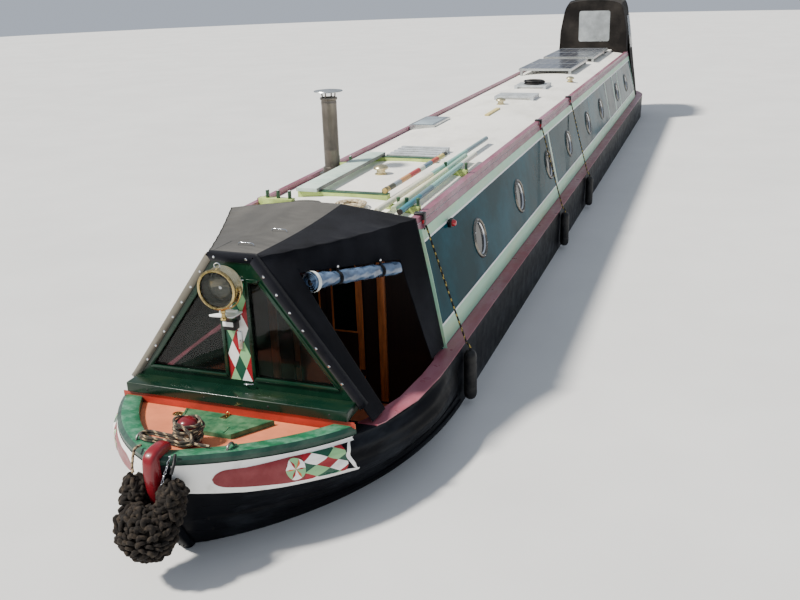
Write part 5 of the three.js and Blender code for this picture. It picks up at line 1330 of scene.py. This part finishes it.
def curtain_roll():
    """The clear side curtain, rolled up and tied with two straps."""
    a = Vector((0.394, BOARD_Y + 0.245, ROLL_FRONT_Z - 0.012))
    b = Vector((0.688, CABIN_FRONT - 0.290, ROLL_BACK_Z - 0.002))
    axis = (b - a).normalized()
    side = axis.cross(Vector(UP)).normalized()
    up = side.cross(axis)
    long, straps = (b - a).length, (0.30, 0.79)
    turns, per, along = 3.4, 26, 70
    rows = []
    for i in range(along + 1):
        t = i / along
        pinch = 1 - 0.20 * sum(math.exp(-((t - s) / 0.05) ** 2) for s in straps) + 0.24 * math.exp(-((t / 0.13) ** 2))
        row = []
        for k in range(int(turns * per) + 1):
            turn = k / per * math.tau
            r = mix(0.016, 0.0540, k / (turns * per)) * pinch
            share = 0.3 + 0.7 * k / (turns * per)
            ripple = 0.07 * math.sin(3 * turn + t * 21) * math.sin(t * 34 + turn) + 0.04 * math.sin(5 * turn - t * 47)
            r *= 1 + ripple * share
            row.append(a + axis * (long * t) + side * (math.cos(turn) * r) + up * (math.sin(turn) * r * 0.92))
        rows.append(row)
    roll = skin("side_curtain_roll", rows, "curtain", angle=80)
    trims = []
    for s in straps:
        at = a + axis * (long * s)
        ring = arc(at, side * 0.0445, up * 0.042, STRAP_STEPS)
        band = []
        for p in ring:
            out = (p - at).normalized() * 0.002
            band.append([p + axis * 0.014, p + out + axis * 0.014, p + out - axis * 0.014, p - axis * 0.014])
        trims.append(skin("roll_strap", band, "canvas", angle=60))
        top = at + up * 0.042
        tail = [top + axis * w + side * 0.004 + Vector((0, 0, z)) for z in (0, 0.045) for w in (-0.012, 0.012)]
        trims.append(build("roll_strap_tab", tail, [(0, 1, 3, 2)], "canvas"))
        thicken(trims[-1], 0.002, 0)
        trims.append(lathe("roll_strap_stud", top + side * 0.006 + Vector((0, 0, 0.034)),
                           [(0, 0.003), (0.006, 0.0025), (0.009, 0)], "chrome", tuple(side), 14))
    at = a + axis * (long * 0.035)
    white = [[at + out * 0.0735 - axis * 0.014, at + out * 0.0740, at + out * 0.0720 + axis * 0.014]
             for out in arc((0, 0, 0), side, up * 0.92, STRAP_STEPS)]
    trims.append(skin("roll_white_band", white, "line", angle=60))
    # A black disc in the roll's open end is painted shade inside it
    trims.append(lathe("roll_painted_shade_inside", a + axis * 0.014, [(0, 0.0), (0.058, 0.0), (0.058, 0.004), (0, 0.004)],
                       "fender_core", tuple(axis), 28))
    stands_for(roll, "curtain_roll")


canopy()
canopy_back_flap()
curtain_roll()


# ---- Cabin sides ----
def cabin_half(z):
    return 0.925 - 0.22 * (z - GUNWALE_Z)


def side_plate(name, side, outline, material, low=0.0003, high=0.0013):
    """A thin flat shape on the cabin's leaning side. Its outline is in (aft of the front, over the gunwale)."""
    def place(u, v, w):
        return Vector((side * (cabin_half(GUNWALE_Z + v) + low + w), CABIN_FRONT + u, GUNWALE_Z + v))
    return prism(name, outline, high - low, place, material)


def rect(u0, u1, v0, v1):
    return [(u0, v0), (u1, v0), (u1, v1), (u0, v1)]


# The painted bands and lines of a side: its length, the ends of its frame, the two lines, and the panels between them
LONG, EDGE, FRAME_FRONT, FRAME_BACK = 14.3, 0.002, 0.046, 14.25
TOP_LINE, LOW_LINE, LINE_WIDE, LINE_DEPTH = (0.772, 0.788), (0.138, 0.154), 0.012, (0.0014, 0.0018)
PORTHOLES = [1.45, 3.04, 4.68, 6.10, 7.86, 9.34, 11.56, 13.05]
DIVIDERS = [(4.905, 4.965), (10.15, 10.20), (11.14, 11.20), (11.88, 11.94)]
PORTHOLE_RIM = [(0.142, -0.018), (0.150, 0.010), (0.158, 0.016), (0.166, 0.014), (0.174, 0.006), (0.176, 0.001),
                (0.1755, 0.0004), (0.149, 0.0004), (0.140, -0.020)]
PORTHOLE_RING = [(0.132, -0.006), (0.141, 0.002), (0.146, -0.002), (0.146, -0.014), (0.132, -0.014)]
BOLTS, BOLT_CIRCLE = 6, 0.162


def cabin_side(side, tag):
    """One side's pale bands and lines round its panels, its corner trim and its portholes."""
    low, high = LOW_LINE[0], TOP_LINE[1]
    panels = LOW_LINE[1], TOP_LINE[0]
    bands = [rect(EDGE, LONG - EDGE, high, 0.864), rect(EDGE, LONG - EDGE, 0.004, low),
             rect(EDGE, FRAME_FRONT, low, high),
             rect(FRAME_BACK, LONG - EDGE, low, high), *(rect(*ends, *panels) for ends in DIVIDERS)]
    lines = [rect(at - LINE_WIDE / 2, at + LINE_WIDE / 2, *panels) for ends in DIVIDERS for at in ends]
    lines += [rect(FRAME_FRONT, FRAME_BACK, *heights) for heights in (TOP_LINE, LOW_LINE)]
    lines += [rect(at, at + LINE_WIDE, low, high) for at in (FRAME_FRONT, FRAME_BACK - LINE_WIDE)]
    parts = [side_plate("band", side, outline, "mint") for outline in bands]
    parts += [side_plate("line", side, outline, "line", *LINE_DEPTH) for outline in lines]
    parts.append(side_plate("band", side, rect(EDGE, LONG - EDGE, 0.866, 0.914), "rail"))
    parts.append(prism("corner_trim", [(cabin_half(1.09), 1.09), (0.956, 1.09), (0.854, 1.64), (0.779, 1.985),
                                       (cabin_half(1.985), 1.985)], 0.008,
                       lambda u, v, w: Vector((side * u, CABIN_FRONT + 0.0006 + w, v)), "mint"))
    joined(f"side_bands_{tag}", parts)
    tilt = Vector((side, 0, 0.22)).normalized()
    upward = tilt.cross(Vector(AFT)).normalized()
    for i, u in enumerate(PORTHOLES, 1):
        z = GUNWALE_Z + 0.44
        at = Vector((side * cabin_half(z), CABIN_FRONT + u, z))
        ring = lathe("rim", at, PORTHOLE_RIM, "bezel", tilt, 64)
        inner = lathe("ring", at, PORTHOLE_RING, "chrome", tilt, 48)
        glass = lathe("pane", at, [(0, -0.010), (0.138, -0.010), (0.138, -0.015), (0, -0.015)], "dark_glass", tilt,
                      48)
        bolts = []
        for turn in ((k + 0.5) / BOLTS * math.tau for k in range(BOLTS)):
            p = at + (Vector(AFT) * math.cos(turn) + upward * math.sin(turn)) * BOLT_CIRCLE + tilt * 0.014
            bolts.append(lathe("bolt", p, [(0, 0.003), (0.004, 0.0025), (0.0055, 0)], "chrome", tilt, 10))
        joined(f"porthole_{i}_{tag}", [ring, inner, glass, *bolts])


for side, tag in SIDES:
    cabin_side(side, tag)


# ---- Cabin ends and doors ----
def cabin_ends():
    """Glass, beads and a knob on each door, and a frame round each doorway."""
    for end, face, out, low, material in (("front", CABIN_FRONT, -1, WELL_Z + 0.07, "wood"),
                                          ("rear", CABIN_END, 1, GUNWALE_Z + 0.02, "teal")):
        high, trim = GUNWALE_Z + 0.80, "wood" if end == "front" else "mint"
        for side, tag in SIDES:
            body = f"{end} door {tag}"
            x0, x1 = 0.058, 0.248
            z0, z1 = mix(low + 0.006, high - 0.006, 0.42), high - 0.076
            block(f"{end}_door_glass_{tag}", (side * (x0 - 0.004), face - out * 0.014, z0 - 0.004),
                  (side * (x1 + 0.004), face - out * 0.020, z1 + 0.004), "glass", body, bevel=0.0005, segments=1)
            for a, b, c, d in ((x0 - 0.012, x1 + 0.012, z0 - 0.012, z0 + 0.002),
                               (x0 - 0.012, x1 + 0.012, z1 - 0.002, z1 + 0.012),
                               (x0 - 0.012, x0 + 0.002, z0 + 0.002, z1 - 0.002),
                               (x1 - 0.002, x1 + 0.012, z0 + 0.002, z1 - 0.002)):
                block(f"{end}_door_bead_{tag}", (side * a, face + out * 0.0004, c), (side * b, face + out * 0.005, d),
                      material, body, bevel=0.0015)
            lathe(f"{end}_door_knob_{tag}", (side * 0.032, face + out * 0.0002, mix(low, high, 0.38)),
                  [(0, 0), (0.011, 0), (0.011, 0.0015),
                  (0.003, 0.003), (0.003, 0.0045), (0, 0.005)], "brass", (0, out, 0), 20, body)
            block(f"{end}_door_post_{tag}", (side * 0.430, face + out * 0.0004, low - 0.02),
                  (side * 0.490, face + out * 0.030, high + 0.012),
                  trim, bevel=0.004)
            block(f"{end}_door_stile_{tag}", (side * 0.252, face + out * 0.0004, low + 0.01),
                  (side * 0.299, face + out * 0.003, high - 0.01),
                  trim, body, bevel=0.001)
        block(f"{end}_door_head", (-0.490, face + out * 0.0004, high + 0.012),
              (0.490, face + out * 0.030, high + 0.052),
              trim, bevel=0.004)


cabin_ends()


# ---- Things on the roof ----
CHIMNEY_PIPE = [
    (0.060, 0.655), (0.060, 0.0), (0.085, 0.0), (0.085, 0.030), (0.080, 0.048), (0.070, 0.055), (0.068, 0.062),
    (0.068, 0.20), (0.0685, 0.202), (0.068, 0.204), (0.068, 0.60), (0.0695, 0.606), (0.0695, 0.618), (0.068, 0.624),
    (0.068, 0.636), (0.075, 0.642), (0.077, 0.650), (0.075, 0.660), (0.062, 0.662), (0.060, 0.655)]
VENT = [
    (0, 0), (0.056, 0), (0.056, 0.006), (0.050, 0.010), (0.039, 0.012), (0.038, 0.044), (0.061, 0.046),
    (0.064, 0.050), (0.064, 0.060), (0.058, 0.068), (0.044, 0.078), (0.022, 0.085), (0, 0.087)]
PEG = [(0, 0), (0.013, 0), (0.012, 0.045), (0.015, 0.050), (0.015, 0.062), (0.010, 0.066), (0, 0.066)]


def roof_block(name, x, y, z, material, **more):
    """A block between two places across, two aft of the cabin's front, and two heights."""
    return block(name, (x[0], CABIN_FRONT + y[0], z[0]), (x[1], CABIN_FRONT + y[1], z[1]), material, **more)


def chimney():
    """The chimney with its collar, a cap on four prongs, and a square foot on the camber."""
    x, y = -0.54, CABIN_FRONT + 1.46
    base = roof_top(x + 0.09) + 0.005
    stands_for(lathe("chimney_pipe", (x, y, base), CHIMNEY_PIPE, "pipe", sides=56), "chimney")
    for turn in (i * math.pi / 2 for i in range(4)):
        out = Vector((math.cos(turn), math.sin(turn), 0))
        p = Vector((x, y, base + 0.64)) + out * 0.060
        sweep("chimney_prong", [p, p + Vector((0, 0, 0.03)), p + out * 0.006 + Vector((0, 0, 0.069))], 0.0065, "pipe",
              sides=10)
    lathe("chimney_cap", (x, y, base + 0.708), [
        (0, 0.004), (0.122, 0.0), (0.128, 0.004), (0.124, 0.010), (0.06, 0.018), (0, 0.022)], "alloy", sides=56)
    verts = [(x + u, y + v, roof_top(x + 0.09) + 0.012 if upper else roof_top(x + u) + 0.0006)
             for upper in (False, True)
             for u, v in ((-0.09, -0.09), (0.09, -0.09), (0.09, 0.09), (-0.09, 0.09))]
    faces = [(0, 1, 2, 3), (4, 5, 6, 7), (0, 1, 5, 4), (1, 2, 6, 5), (2, 3, 7, 6), (3, 0, 4, 7)]
    build("chimney_foot", verts, faces, "steel", angle=20)


def vents():
    for i, (x, y) in enumerate(((-0.036, 1.36), (-0.023, 5.77), (0.434, 8.52)), 1):
        base = roof_top(max(abs(x) - 0.062, 0)) + 0.003
        vent = lathe(f"mushroom_vent_{i}", (x, CABIN_FRONT + y, base - 0.004), VENT, "pale_brass", sides=44)
        stands_for(vent, f"roof_vent_{i}")


RACK_TOP = 2.071
# Each pole with its two ends, and its colours from so far aft of the cabin's front
POLES = [
    ("boathook", (0.300, 0.55), (0.330, 2.09), [
        (0, (206, 176, 104)), (0.62, (74, 74, 60)), (0.74, (150, 160, 168)), (0.88, (206, 150, 96)),
        (1.10, (186, 62, 62)), (1.34, (226, 224, 210)), (1.46, (112, 132, 150)), (1.66, (196, 84, 62)),
        (1.84, (222, 196, 116)), (2.0, (60, 58, 48))]),
    ("pole_long", (0.428, 0.04), (0.462, 3.10), [
        (0, (224, 222, 200)), (1.30, (140, 186, 176)), (2.35, (128, 150, 154))]),
    ("pole_cream", (0.529, 0.12), (0.506, 2.15), [
        (0, (190, 200, 164)), (0.4, (226, 226, 188)), (1.5, (150, 184, 166))]),
    ("pole_teal", (0.602, 0.04), (0.570, 2.25), [
        (0, (50, 46, 44)), (0.052, (56, 128, 142)), (0.52, (104, 132, 140)), (0.84, (140, 188, 176)),
        (1.75, (218, 220, 204))]),
]
PORT_RACKS = [(0.32, (0.380, 0.662), (0.496, 0.560, 0.650)), (1.65, (0.370, 0.662), (0.462, 0.650))]


def onto_roof(name, x, y, top, material):
    """A bearer that follows the camber below and is level on top."""
    steps = 12
    low = [(u, roof_top(u) + 0.0008) for u in (mix(x[0], x[1], i / steps) for i in range(steps + 1))]
    return prism(name, [*low, (x[1], top), (x[0], top)], y[1] - y[0],
                 lambda u, v, w: Vector((u, CABIN_FRONT + y[0] + w, v)), material, bevel=0.0015)


def poles():
    z = RACK_TOP + 0.021
    parts = []
    for y, x, pegs in PORT_RACKS:
        parts.append(onto_roof("bearer", x, (y - 0.030, y + 0.030), RACK_TOP, "lime"))
        for peg in pegs:
            parts.append(lathe("peg", (peg, CABIN_FRONT + y, RACK_TOP - 0.004), PEG, "rack", sides=18))
    rack = joined("pole_racks_port", parts)
    stands_for(rack, "poles_and_racks")
    for name, a, b, stops in POLES:
        lift = 0.024 if name == "boathook" else 0
        p, q = Vector((a[0], CABIN_FRONT + a[1], z + lift)), Vector((b[0], CABIN_FRONT + b[1], z + lift))
        long = (q - p).length
        profile = [(0, 0.0), (0.019, 0.0), (0.0225, 0.004), (0.0225, long - 0.004), (0.019, long), (0, long)]
        pole = lathe(name, p, profile, banded(f"{name}_paint", stops), (q - p).normalized(), 28)
    hook = Vector((POLES[0][1][0], CABIN_FRONT + POLES[0][1][1], z + 0.024))
    lathe("boathook_ferrule", hook, [
        (0.0235, 0.0), (0.0245, 0.004), (0.0245, 0.05), (0.0232, 0.052), (0.0226, 0.052), (0.0226, 0.0)],
        "brass", AFT, 28)


def bearer(x, y, top):
    """A bearer across the roof: pale green sides and a dark green top."""
    lid = roof_block("bearer_top", (x[0] - 0.001, x[1] + 0.001), (y[0] - 0.001, y[1] + 0.001), (top - 0.004, top),
                     "rack", bevel=0.0012)
    return [onto_roof("bearer", x, y, top - 0.004, "lime"), lid]


def plank():
    """The boarding plank on its two bearers."""
    top = roof_top(0) + 0.032
    parts = bearer((-0.425, 0.335), (0.502, 0.578), top) + bearer((-0.425, 0.270), (1.937, 2.013), top)
    parts.append(roof_block("board", (-0.4185, -0.2415), (0.4705, 2.0195), (top + 0.0002, top + 0.031), "plank",
                            bevel=0.003))
    for x in ((-0.4203, -0.4186), (-0.2414, -0.2397)):
        parts.append(roof_block("edge", x, (0.471, 2.019), (top + 0.001, top + 0.0295), "plank_edge", bevel=0.0004))
    for y in (0.62 + i * 0.15 for i in range(9)):
        parts.append(roof_block("tread", (-0.405, -0.255), (y, y + 0.012), (top + 0.0305, top + 0.0335), "plank",
                                bevel=0.001))
    whole = joined("boarding_plank", parts)
    stands_for(whole, "gang_plank")
    for tag, y, x, pegs in (("front", 0.325, (-0.669, -0.379), (-0.600, -0.507, -0.408)),
                            ("rear", 1.74, (-0.669, -0.429), (-0.600, -0.480))):
        parts = [onto_roof("bearer", x, (y - 0.0312, y + 0.0312), RACK_TOP + 0.0012, "lime")]
        for peg in pegs:
            parts.append(roof_block("peg", (peg - 0.0095, peg + 0.0095), (y - 0.0155, y + 0.0155),
                                    (RACK_TOP - 0.001, RACK_TOP + 0.0635), "rack", bevel=0.003))
            parts.append(roof_block("peg_top", (peg - 0.008, peg + 0.008), (y - 0.014, y + 0.014),
                                    (RACK_TOP + 0.063, RACK_TOP + 0.0645), "line", bevel=0.0005))
        joined(f"pole_rack_starboard_{tag}", parts)
    bar = onto_roof("loose_bar", (0.02, 0.07), (4.75, 5.35), roof_top(0) + 0.018, "bar_tan")


def solar_panels():
    z, wide, bar = roof_top(0) + 0.046 + 0.035, 0.028, 0.015
    for tag, (x0, x1), (y0, y1) in (("front", (-0.60, 0.30), (9.5, 11.3)), ("rear", (-0.60, 0.37), (11.7, 13.7))):
        roof_block(f"solar_cells_{tag}", (x0 + 0.025, x1 - 0.025), (y0 + 0.025, y1 - 0.025), (z - 0.001, z + 0.0015),
                   "cells", bevel=0.0004, segments=1)
        middle = (y0 + y1) / 2
        for xs, ys in (((x0, x1), (y0, y0 + wide)), ((x0, x1), (y1 - wide, y1)),
                       ((x0, x0 + wide), (y0 + wide, y1 - wide)), ((x1 - wide, x1), (y0 + wide, y1 - wide)),
                       ((x0 + wide, x1 - wide), (middle - bar, middle + bar))):
            roof_block(f"solar_frame_{tag}", (xs[0] + 0.0005, xs[1] - 0.0005), (ys[0] + 0.0005, ys[1] - 0.0005),
                       (z - 0.002, z + 0.004), "alloy", bevel=0.001)


def rail_hooks():
    """The black hooks over the port handrail that the fenders hang from, with red grips."""
    outer = ROOF_HALF - 0.004
    for i, (y, _) in enumerate(FENDERS, 1):
        at = CABIN_FRONT + y
        top = ROOF_EDGE_Z + 0.045
        parts = [
            block("cover", (outer - 0.056, at - 0.030, top + 0.0012), (outer + 0.028, at + 0.030, top + 0.022),
                  "black", bevel=0.009, segments=3),
            block("drop", (outer + 0.0066, at - 0.024, ROOF_EDGE_Z - 0.020),
                  (outer + 0.0282, at + 0.024, top + 0.012), "black", bevel=0.008, segments=3),
            block("arm", (outer + 0.0070, at - 0.012, ROOF_EDGE_Z - 0.064),
                  (outer + 0.0262, at + 0.012, ROOF_EDGE_Z - 0.010), "black", bevel=0.006, segments=3),
            block("plate", (outer - 0.030, at - 0.012, top + 0.0215), (outer + 0.004, at + 0.014, top + 0.0245),
                  "chrome", bevel=0.0012),
            block("grip", (outer + 0.0085, at - 0.0268, ROOF_EDGE_Z - 0.012),
                  (outer + 0.0265, at - 0.0235, ROOF_EDGE_Z + 0.014), "lamp_red", bevel=0.0012),
        ]
        joined(f"rail_hook_{i}", parts)


def nav_lamps():
    z, y = GUNWALE_Z + 0.765, CABIN_FRONT + 0.725
    for side, tag in SIDES:
        lens = "lamp_red" if side > 0 else "lamp_green"
        face = cabin_half(z - 0.032) + 0.0004
        shell = block(f"nav_lamp_{tag}_case", (side * face, y - 0.034, z - 0.032),
                      (side * (face + 0.030), y + 0.034, z + 0.032), "black", bevel=0.006, segments=3)
        stands_for(shell, f"nav_lamp_{tag}")
        dome = lathe(f"nav_lamp_{tag}_lens", (side * (face + 0.028), y, z),
                     [(0, 0.034), (0.012, 0.033), (0.021, 0.028), (0.026, 0.018), (0.027, 0.0), (0, 0)],
                     lens, (side, 0, 0), 30)


chimney()
vents()
poles()
plank()
solar_panels()
rail_hooks()
nav_lamps()


# ---- The hood over the stern ----
TOP_ROWS = [(14.06, 0.690, 0.712, ROOF_EDGE_Z + 0.051, GUNWALE_Z + 2.010),
            (14.32, 0.690, 0.712, ROOF_EDGE_Z + 0.051, GUNWALE_Z + 2.060)]
HOOD_ROWS = [(14.303, 0.690, 0.912, 1.0803, GUNWALE_Z + 2.060), (14.9, 0.690, 0.900, 1.0803, GUNWALE_Z + 2.070),
             (15.43, 0.610, 0.745, 1.0803, GUNWALE_Z + 2.030), (15.70, 0.500, 0.580, 1.0803, GUNWALE_Z + 1.960),
             (15.85, 0.400, 0.420, 1.0803, GUNWALE_Z + 1.880)]
WAIST_Z = GUNWALE_Z + 1.40


def hood_section(row, inset=0.0):
    _, waist, foot, low, top = row
    half = [(0.0, top), (0.25 * waist, top), (0.66 * waist, top - 0.04), (0.86 * waist, top - 0.15), (waist, WAIST_Z),
            (mix(waist, foot, 0.55), mix(WAIST_Z, low, 0.55)), (foot, low)]
    half = [(max(x - inset, 0), z - (inset if i < 5 else 0)) for i, (x, z) in enumerate(half)]
    line = catmull([(x, 0, z) for x, z in half], 8)
    return [(-p.x, p.z) for p in reversed(line[1:])] + [(p.x, p.z) for p in line]


def hood_row(rows, u):
    """The hood's measures at a place aft, eased between its rows."""
    for a, b in zip(rows, rows[1:]):
        if u <= b[0]:
            t = (u - a[0]) / (b[0] - a[0])
            return tuple(mix(p, q, t) for p, q in zip(a, b))
    return rows[-1]


def hood():
    parts = []
    for tag, rows in (("top", TOP_ROWS), ("main", HOOD_ROWS)):
        count = 6 if tag == "top" else 44
        grid = []
        for i in range(count + 1):
            u = mix(rows[0][0], rows[-1][0], i / count)
            row = hood_row(rows, u)
            sag = 0.010 * abs(math.sin((u - 14.3) / 0.52 * math.pi)) if tag == "main" else 0.0
            ring = []
            for k, (x, z) in enumerate(hood_section(row, 0.002)):
                fold = 0.004 * math.sin(u * 31 + k * 0.7) * math.sin(k * 0.33)
                drop = sag if z > WAIST_Z else 0
                ring.append(Vector((x * (1 - 0.012 * sag / 0.01) + fold * 0.5, CABIN_FRONT + u, z - drop)))
            grid.append(ring)
        parts.append(skin("shell", grid, "hood", angle=70))
    front = [(x, z) for x, z in hood_section(TOP_ROWS[0], 0.004) if z > ROOF_EDGE_Z + 0.06]
    foot = [(x, roof_top(x) + 0.003) for x in (mix(0.66, -0.66, i / 20) for i in range(21))]
    parts.append(prism("front", [*front, *[(x, max(z, 2.098)) if abs(x) < 0.42 else (x, z) for x, z in foot]], 0.003,
                       lambda u, v, w: Vector((u, CABIN_FRONT + 14.062 + w, v)), "hood"))
    back = hood_section(HOOD_ROWS[-1], 0.004)
    parts.append(prism("back", back, 0.003, lambda u, v, w: Vector((u, CABIN_FRONT + 15.846 - w, v)), "hood"))
    area = sum(p.area for part in parts[:2] for p in part.data.polygons)
    area += sum(p.area for part in parts[2:] for p in part.data.polygons) / 2
    cloth = joined("pram_hood_cover", parts)
    low, high = GUNWALE_Z + 1.18, GUNWALE_Z + 1.80
    windows = [prism("hood_window_front", rounded([(-0.30, low), (0.34, low), (0.34, high), (-0.30, high)], 0.05),
                     0.003, lambda u, v, w: Vector((u, CABIN_FRONT + 14.0605 - w, v)), "window_film")]
    for number, u0, u1 in ((1, 14.40, 14.86), (2, 14.95, 15.38)):
        for side, tag in SIDES:
            grid = []
            for i in range(13):
                u = mix(u0, u1, i / 12)
                row = hood_row(HOOD_ROWS, u)
                column = []
                for k in range(9):
                    z = mix(GUNWALE_Z + 1.02, GUNWALE_Z + 1.68, k / 8)
                    column.append(Vector((side * (hood_half(row, z) + 0.006), CABIN_FRONT + u, z)))
                grid.append(column)
            windows.append(skin(f"hood_window_{number}_{tag}", grid, "window_film", angle=60))
    stands_for(cloth, "pram_hood")


def hood_half(row, height):
    return table(sorted((z, x) for x, z in hood_section(row) if x >= 0), height)


def rounded(corners, radius, steps=5):
    """A flat outline with its corners rounded."""
    out = []
    count = len(corners)
    for i in range(count):
        before, here, after = Vector(corners[i - 1]), Vector(corners[i]), Vector(corners[(i + 1) % count])
        a, b = here + (before - here).normalized() * radius, here + (after - here).normalized() * radius
        for k in range(steps + 1):
            t = k / steps
            out.append(tuple(a.lerp(here, t).lerp(here.lerp(b, t), t)))
    return out


hood()


# ---- The nodes that stay, with their finishes ----
FINISH = {
    "hull": "hull_shell", "underwater": "base_plate", "gunwale": "gunwale", "deck": "fore_deck well_deck",
    "lid": "locker_lid", "board": "cratch_board", "wood_dark": "front_bulkhead front_door_port front_door_starboard",
    "teal": "cabin_side_port cabin_side_starboard aft_bulkhead rear_door_port rear_door_starboard",
    "roof": "cabin_roof slide_hatch", "rail": "handrail_port handrail_starboard", "wood_deck": "cabin_floor",
    "plank": "gang_plank", "slat": "slat_board_front slat_board_middle slat_board_rear",
    "alloy": "roof_glass_hatch solar_panel_front solar_panel_rear",
    "black": "stern_deck stern_stud_port stern_stud_starboard rudder", "steel": "engine_block taff_rail",
    "prop": "propeller",
}
for material, names in FINISH.items():
    for name in names.split():
        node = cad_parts[name]
        node.data.materials.clear()
        node.data.materials.append(M[material])


def roof_items():
    """The pane of the roof's glass hatch and a coil of hose on the rear slatted board."""
    low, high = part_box("roof_glass_hatch")
    block("roof_hatch_pane", (low[0] + 0.035, low[1] + 0.035, high[2] + 0.0004),
          (high[0] - 0.035, high[1] - 0.035, high[2] + 0.003), "hatch_pane", bevel=0.001)
    low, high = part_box("slat_board_rear")
    radius = 0.0095
    path = coil(((low[0] + high[0]) / 2 + 0.02, (low[1] + high[1]) / 2, high[2] + 0.0105), 0.095, 3, 3, 2 * radius,
                0.018, 0.004)
    hose = sweep("roof_hose", path, radius, "rubber", sides=10)
    declare_cord(hose)


roof_items()


# ---- The stage ----
FLOOR_REACH = 60


def floor():
    """A pale floor at the waterline, open where the hull stands in it."""
    inner = []
    for side in (1, -1):
        ys = [mix(-8.90, COUNTER_START, (i / 60) ** 1.3) for i in range(61)]
        ys += [mix(COUNTER_START, 9.05, math.sin(i / 16 * math.pi / 2)) for i in range(1, 17)]
        row = [(side * max(half_width(y, level_at(y, WATER_Z)) - 0.03, 0.02), y) for y in ys]
        inner += row if side > 0 else row[::-1]
    count = len(inner)
    verts = [(x, y, WATER_Z) for x, y in inner]
    verts += [(math.sin(turn) * FLOOR_REACH, math.cos(turn) * FLOOR_REACH, WATER_Z)
              for turn in (math.atan2(x, y) for x, y in inner)]
    faces = [(i, (i + 1) % count, count + (i + 1) % count, count + i) for i in range(count)]
    data = bpy.data.meshes.new("floor")
    data.from_pydata(verts, [], faces)
    obj = bpy.data.objects.new("floor", data)
    bpy.context.scene.collection.objects.link(obj)
    tree = Tree("floor_pale")
    tone = tree.blend(tree.ramp(tree.noise(0.8, 3), 0.3, 0.7), linear(214, 214, 212), linear(222, 222, 220))
    tree.dress(tone, 0.85)
    data.materials.append(tree.material)


def light():
    world = bpy.data.worlds.new("studio")
    bpy.context.scene.world = world
    world.use_nodes = True
    sky = world.node_tree.nodes["Background"].inputs
    sky["Color"].default_value = (0.78, 0.86, 1.0, 1)
    sky["Strength"].default_value = 0.6
    data = bpy.data.lights.new("key", "SUN")
    data.energy = 7.2
    data.angle = math.radians(6)
    data.color = (1.0, 0.955, 0.88)
    lamp = bpy.data.objects.new("key", data)
    lamp.rotation_euler = Vector((-0.70, -0.42, 1.0)).to_track_quat("Z", "Y").to_euler()
    bpy.context.scene.collection.objects.link(lamp)


floor()
light()
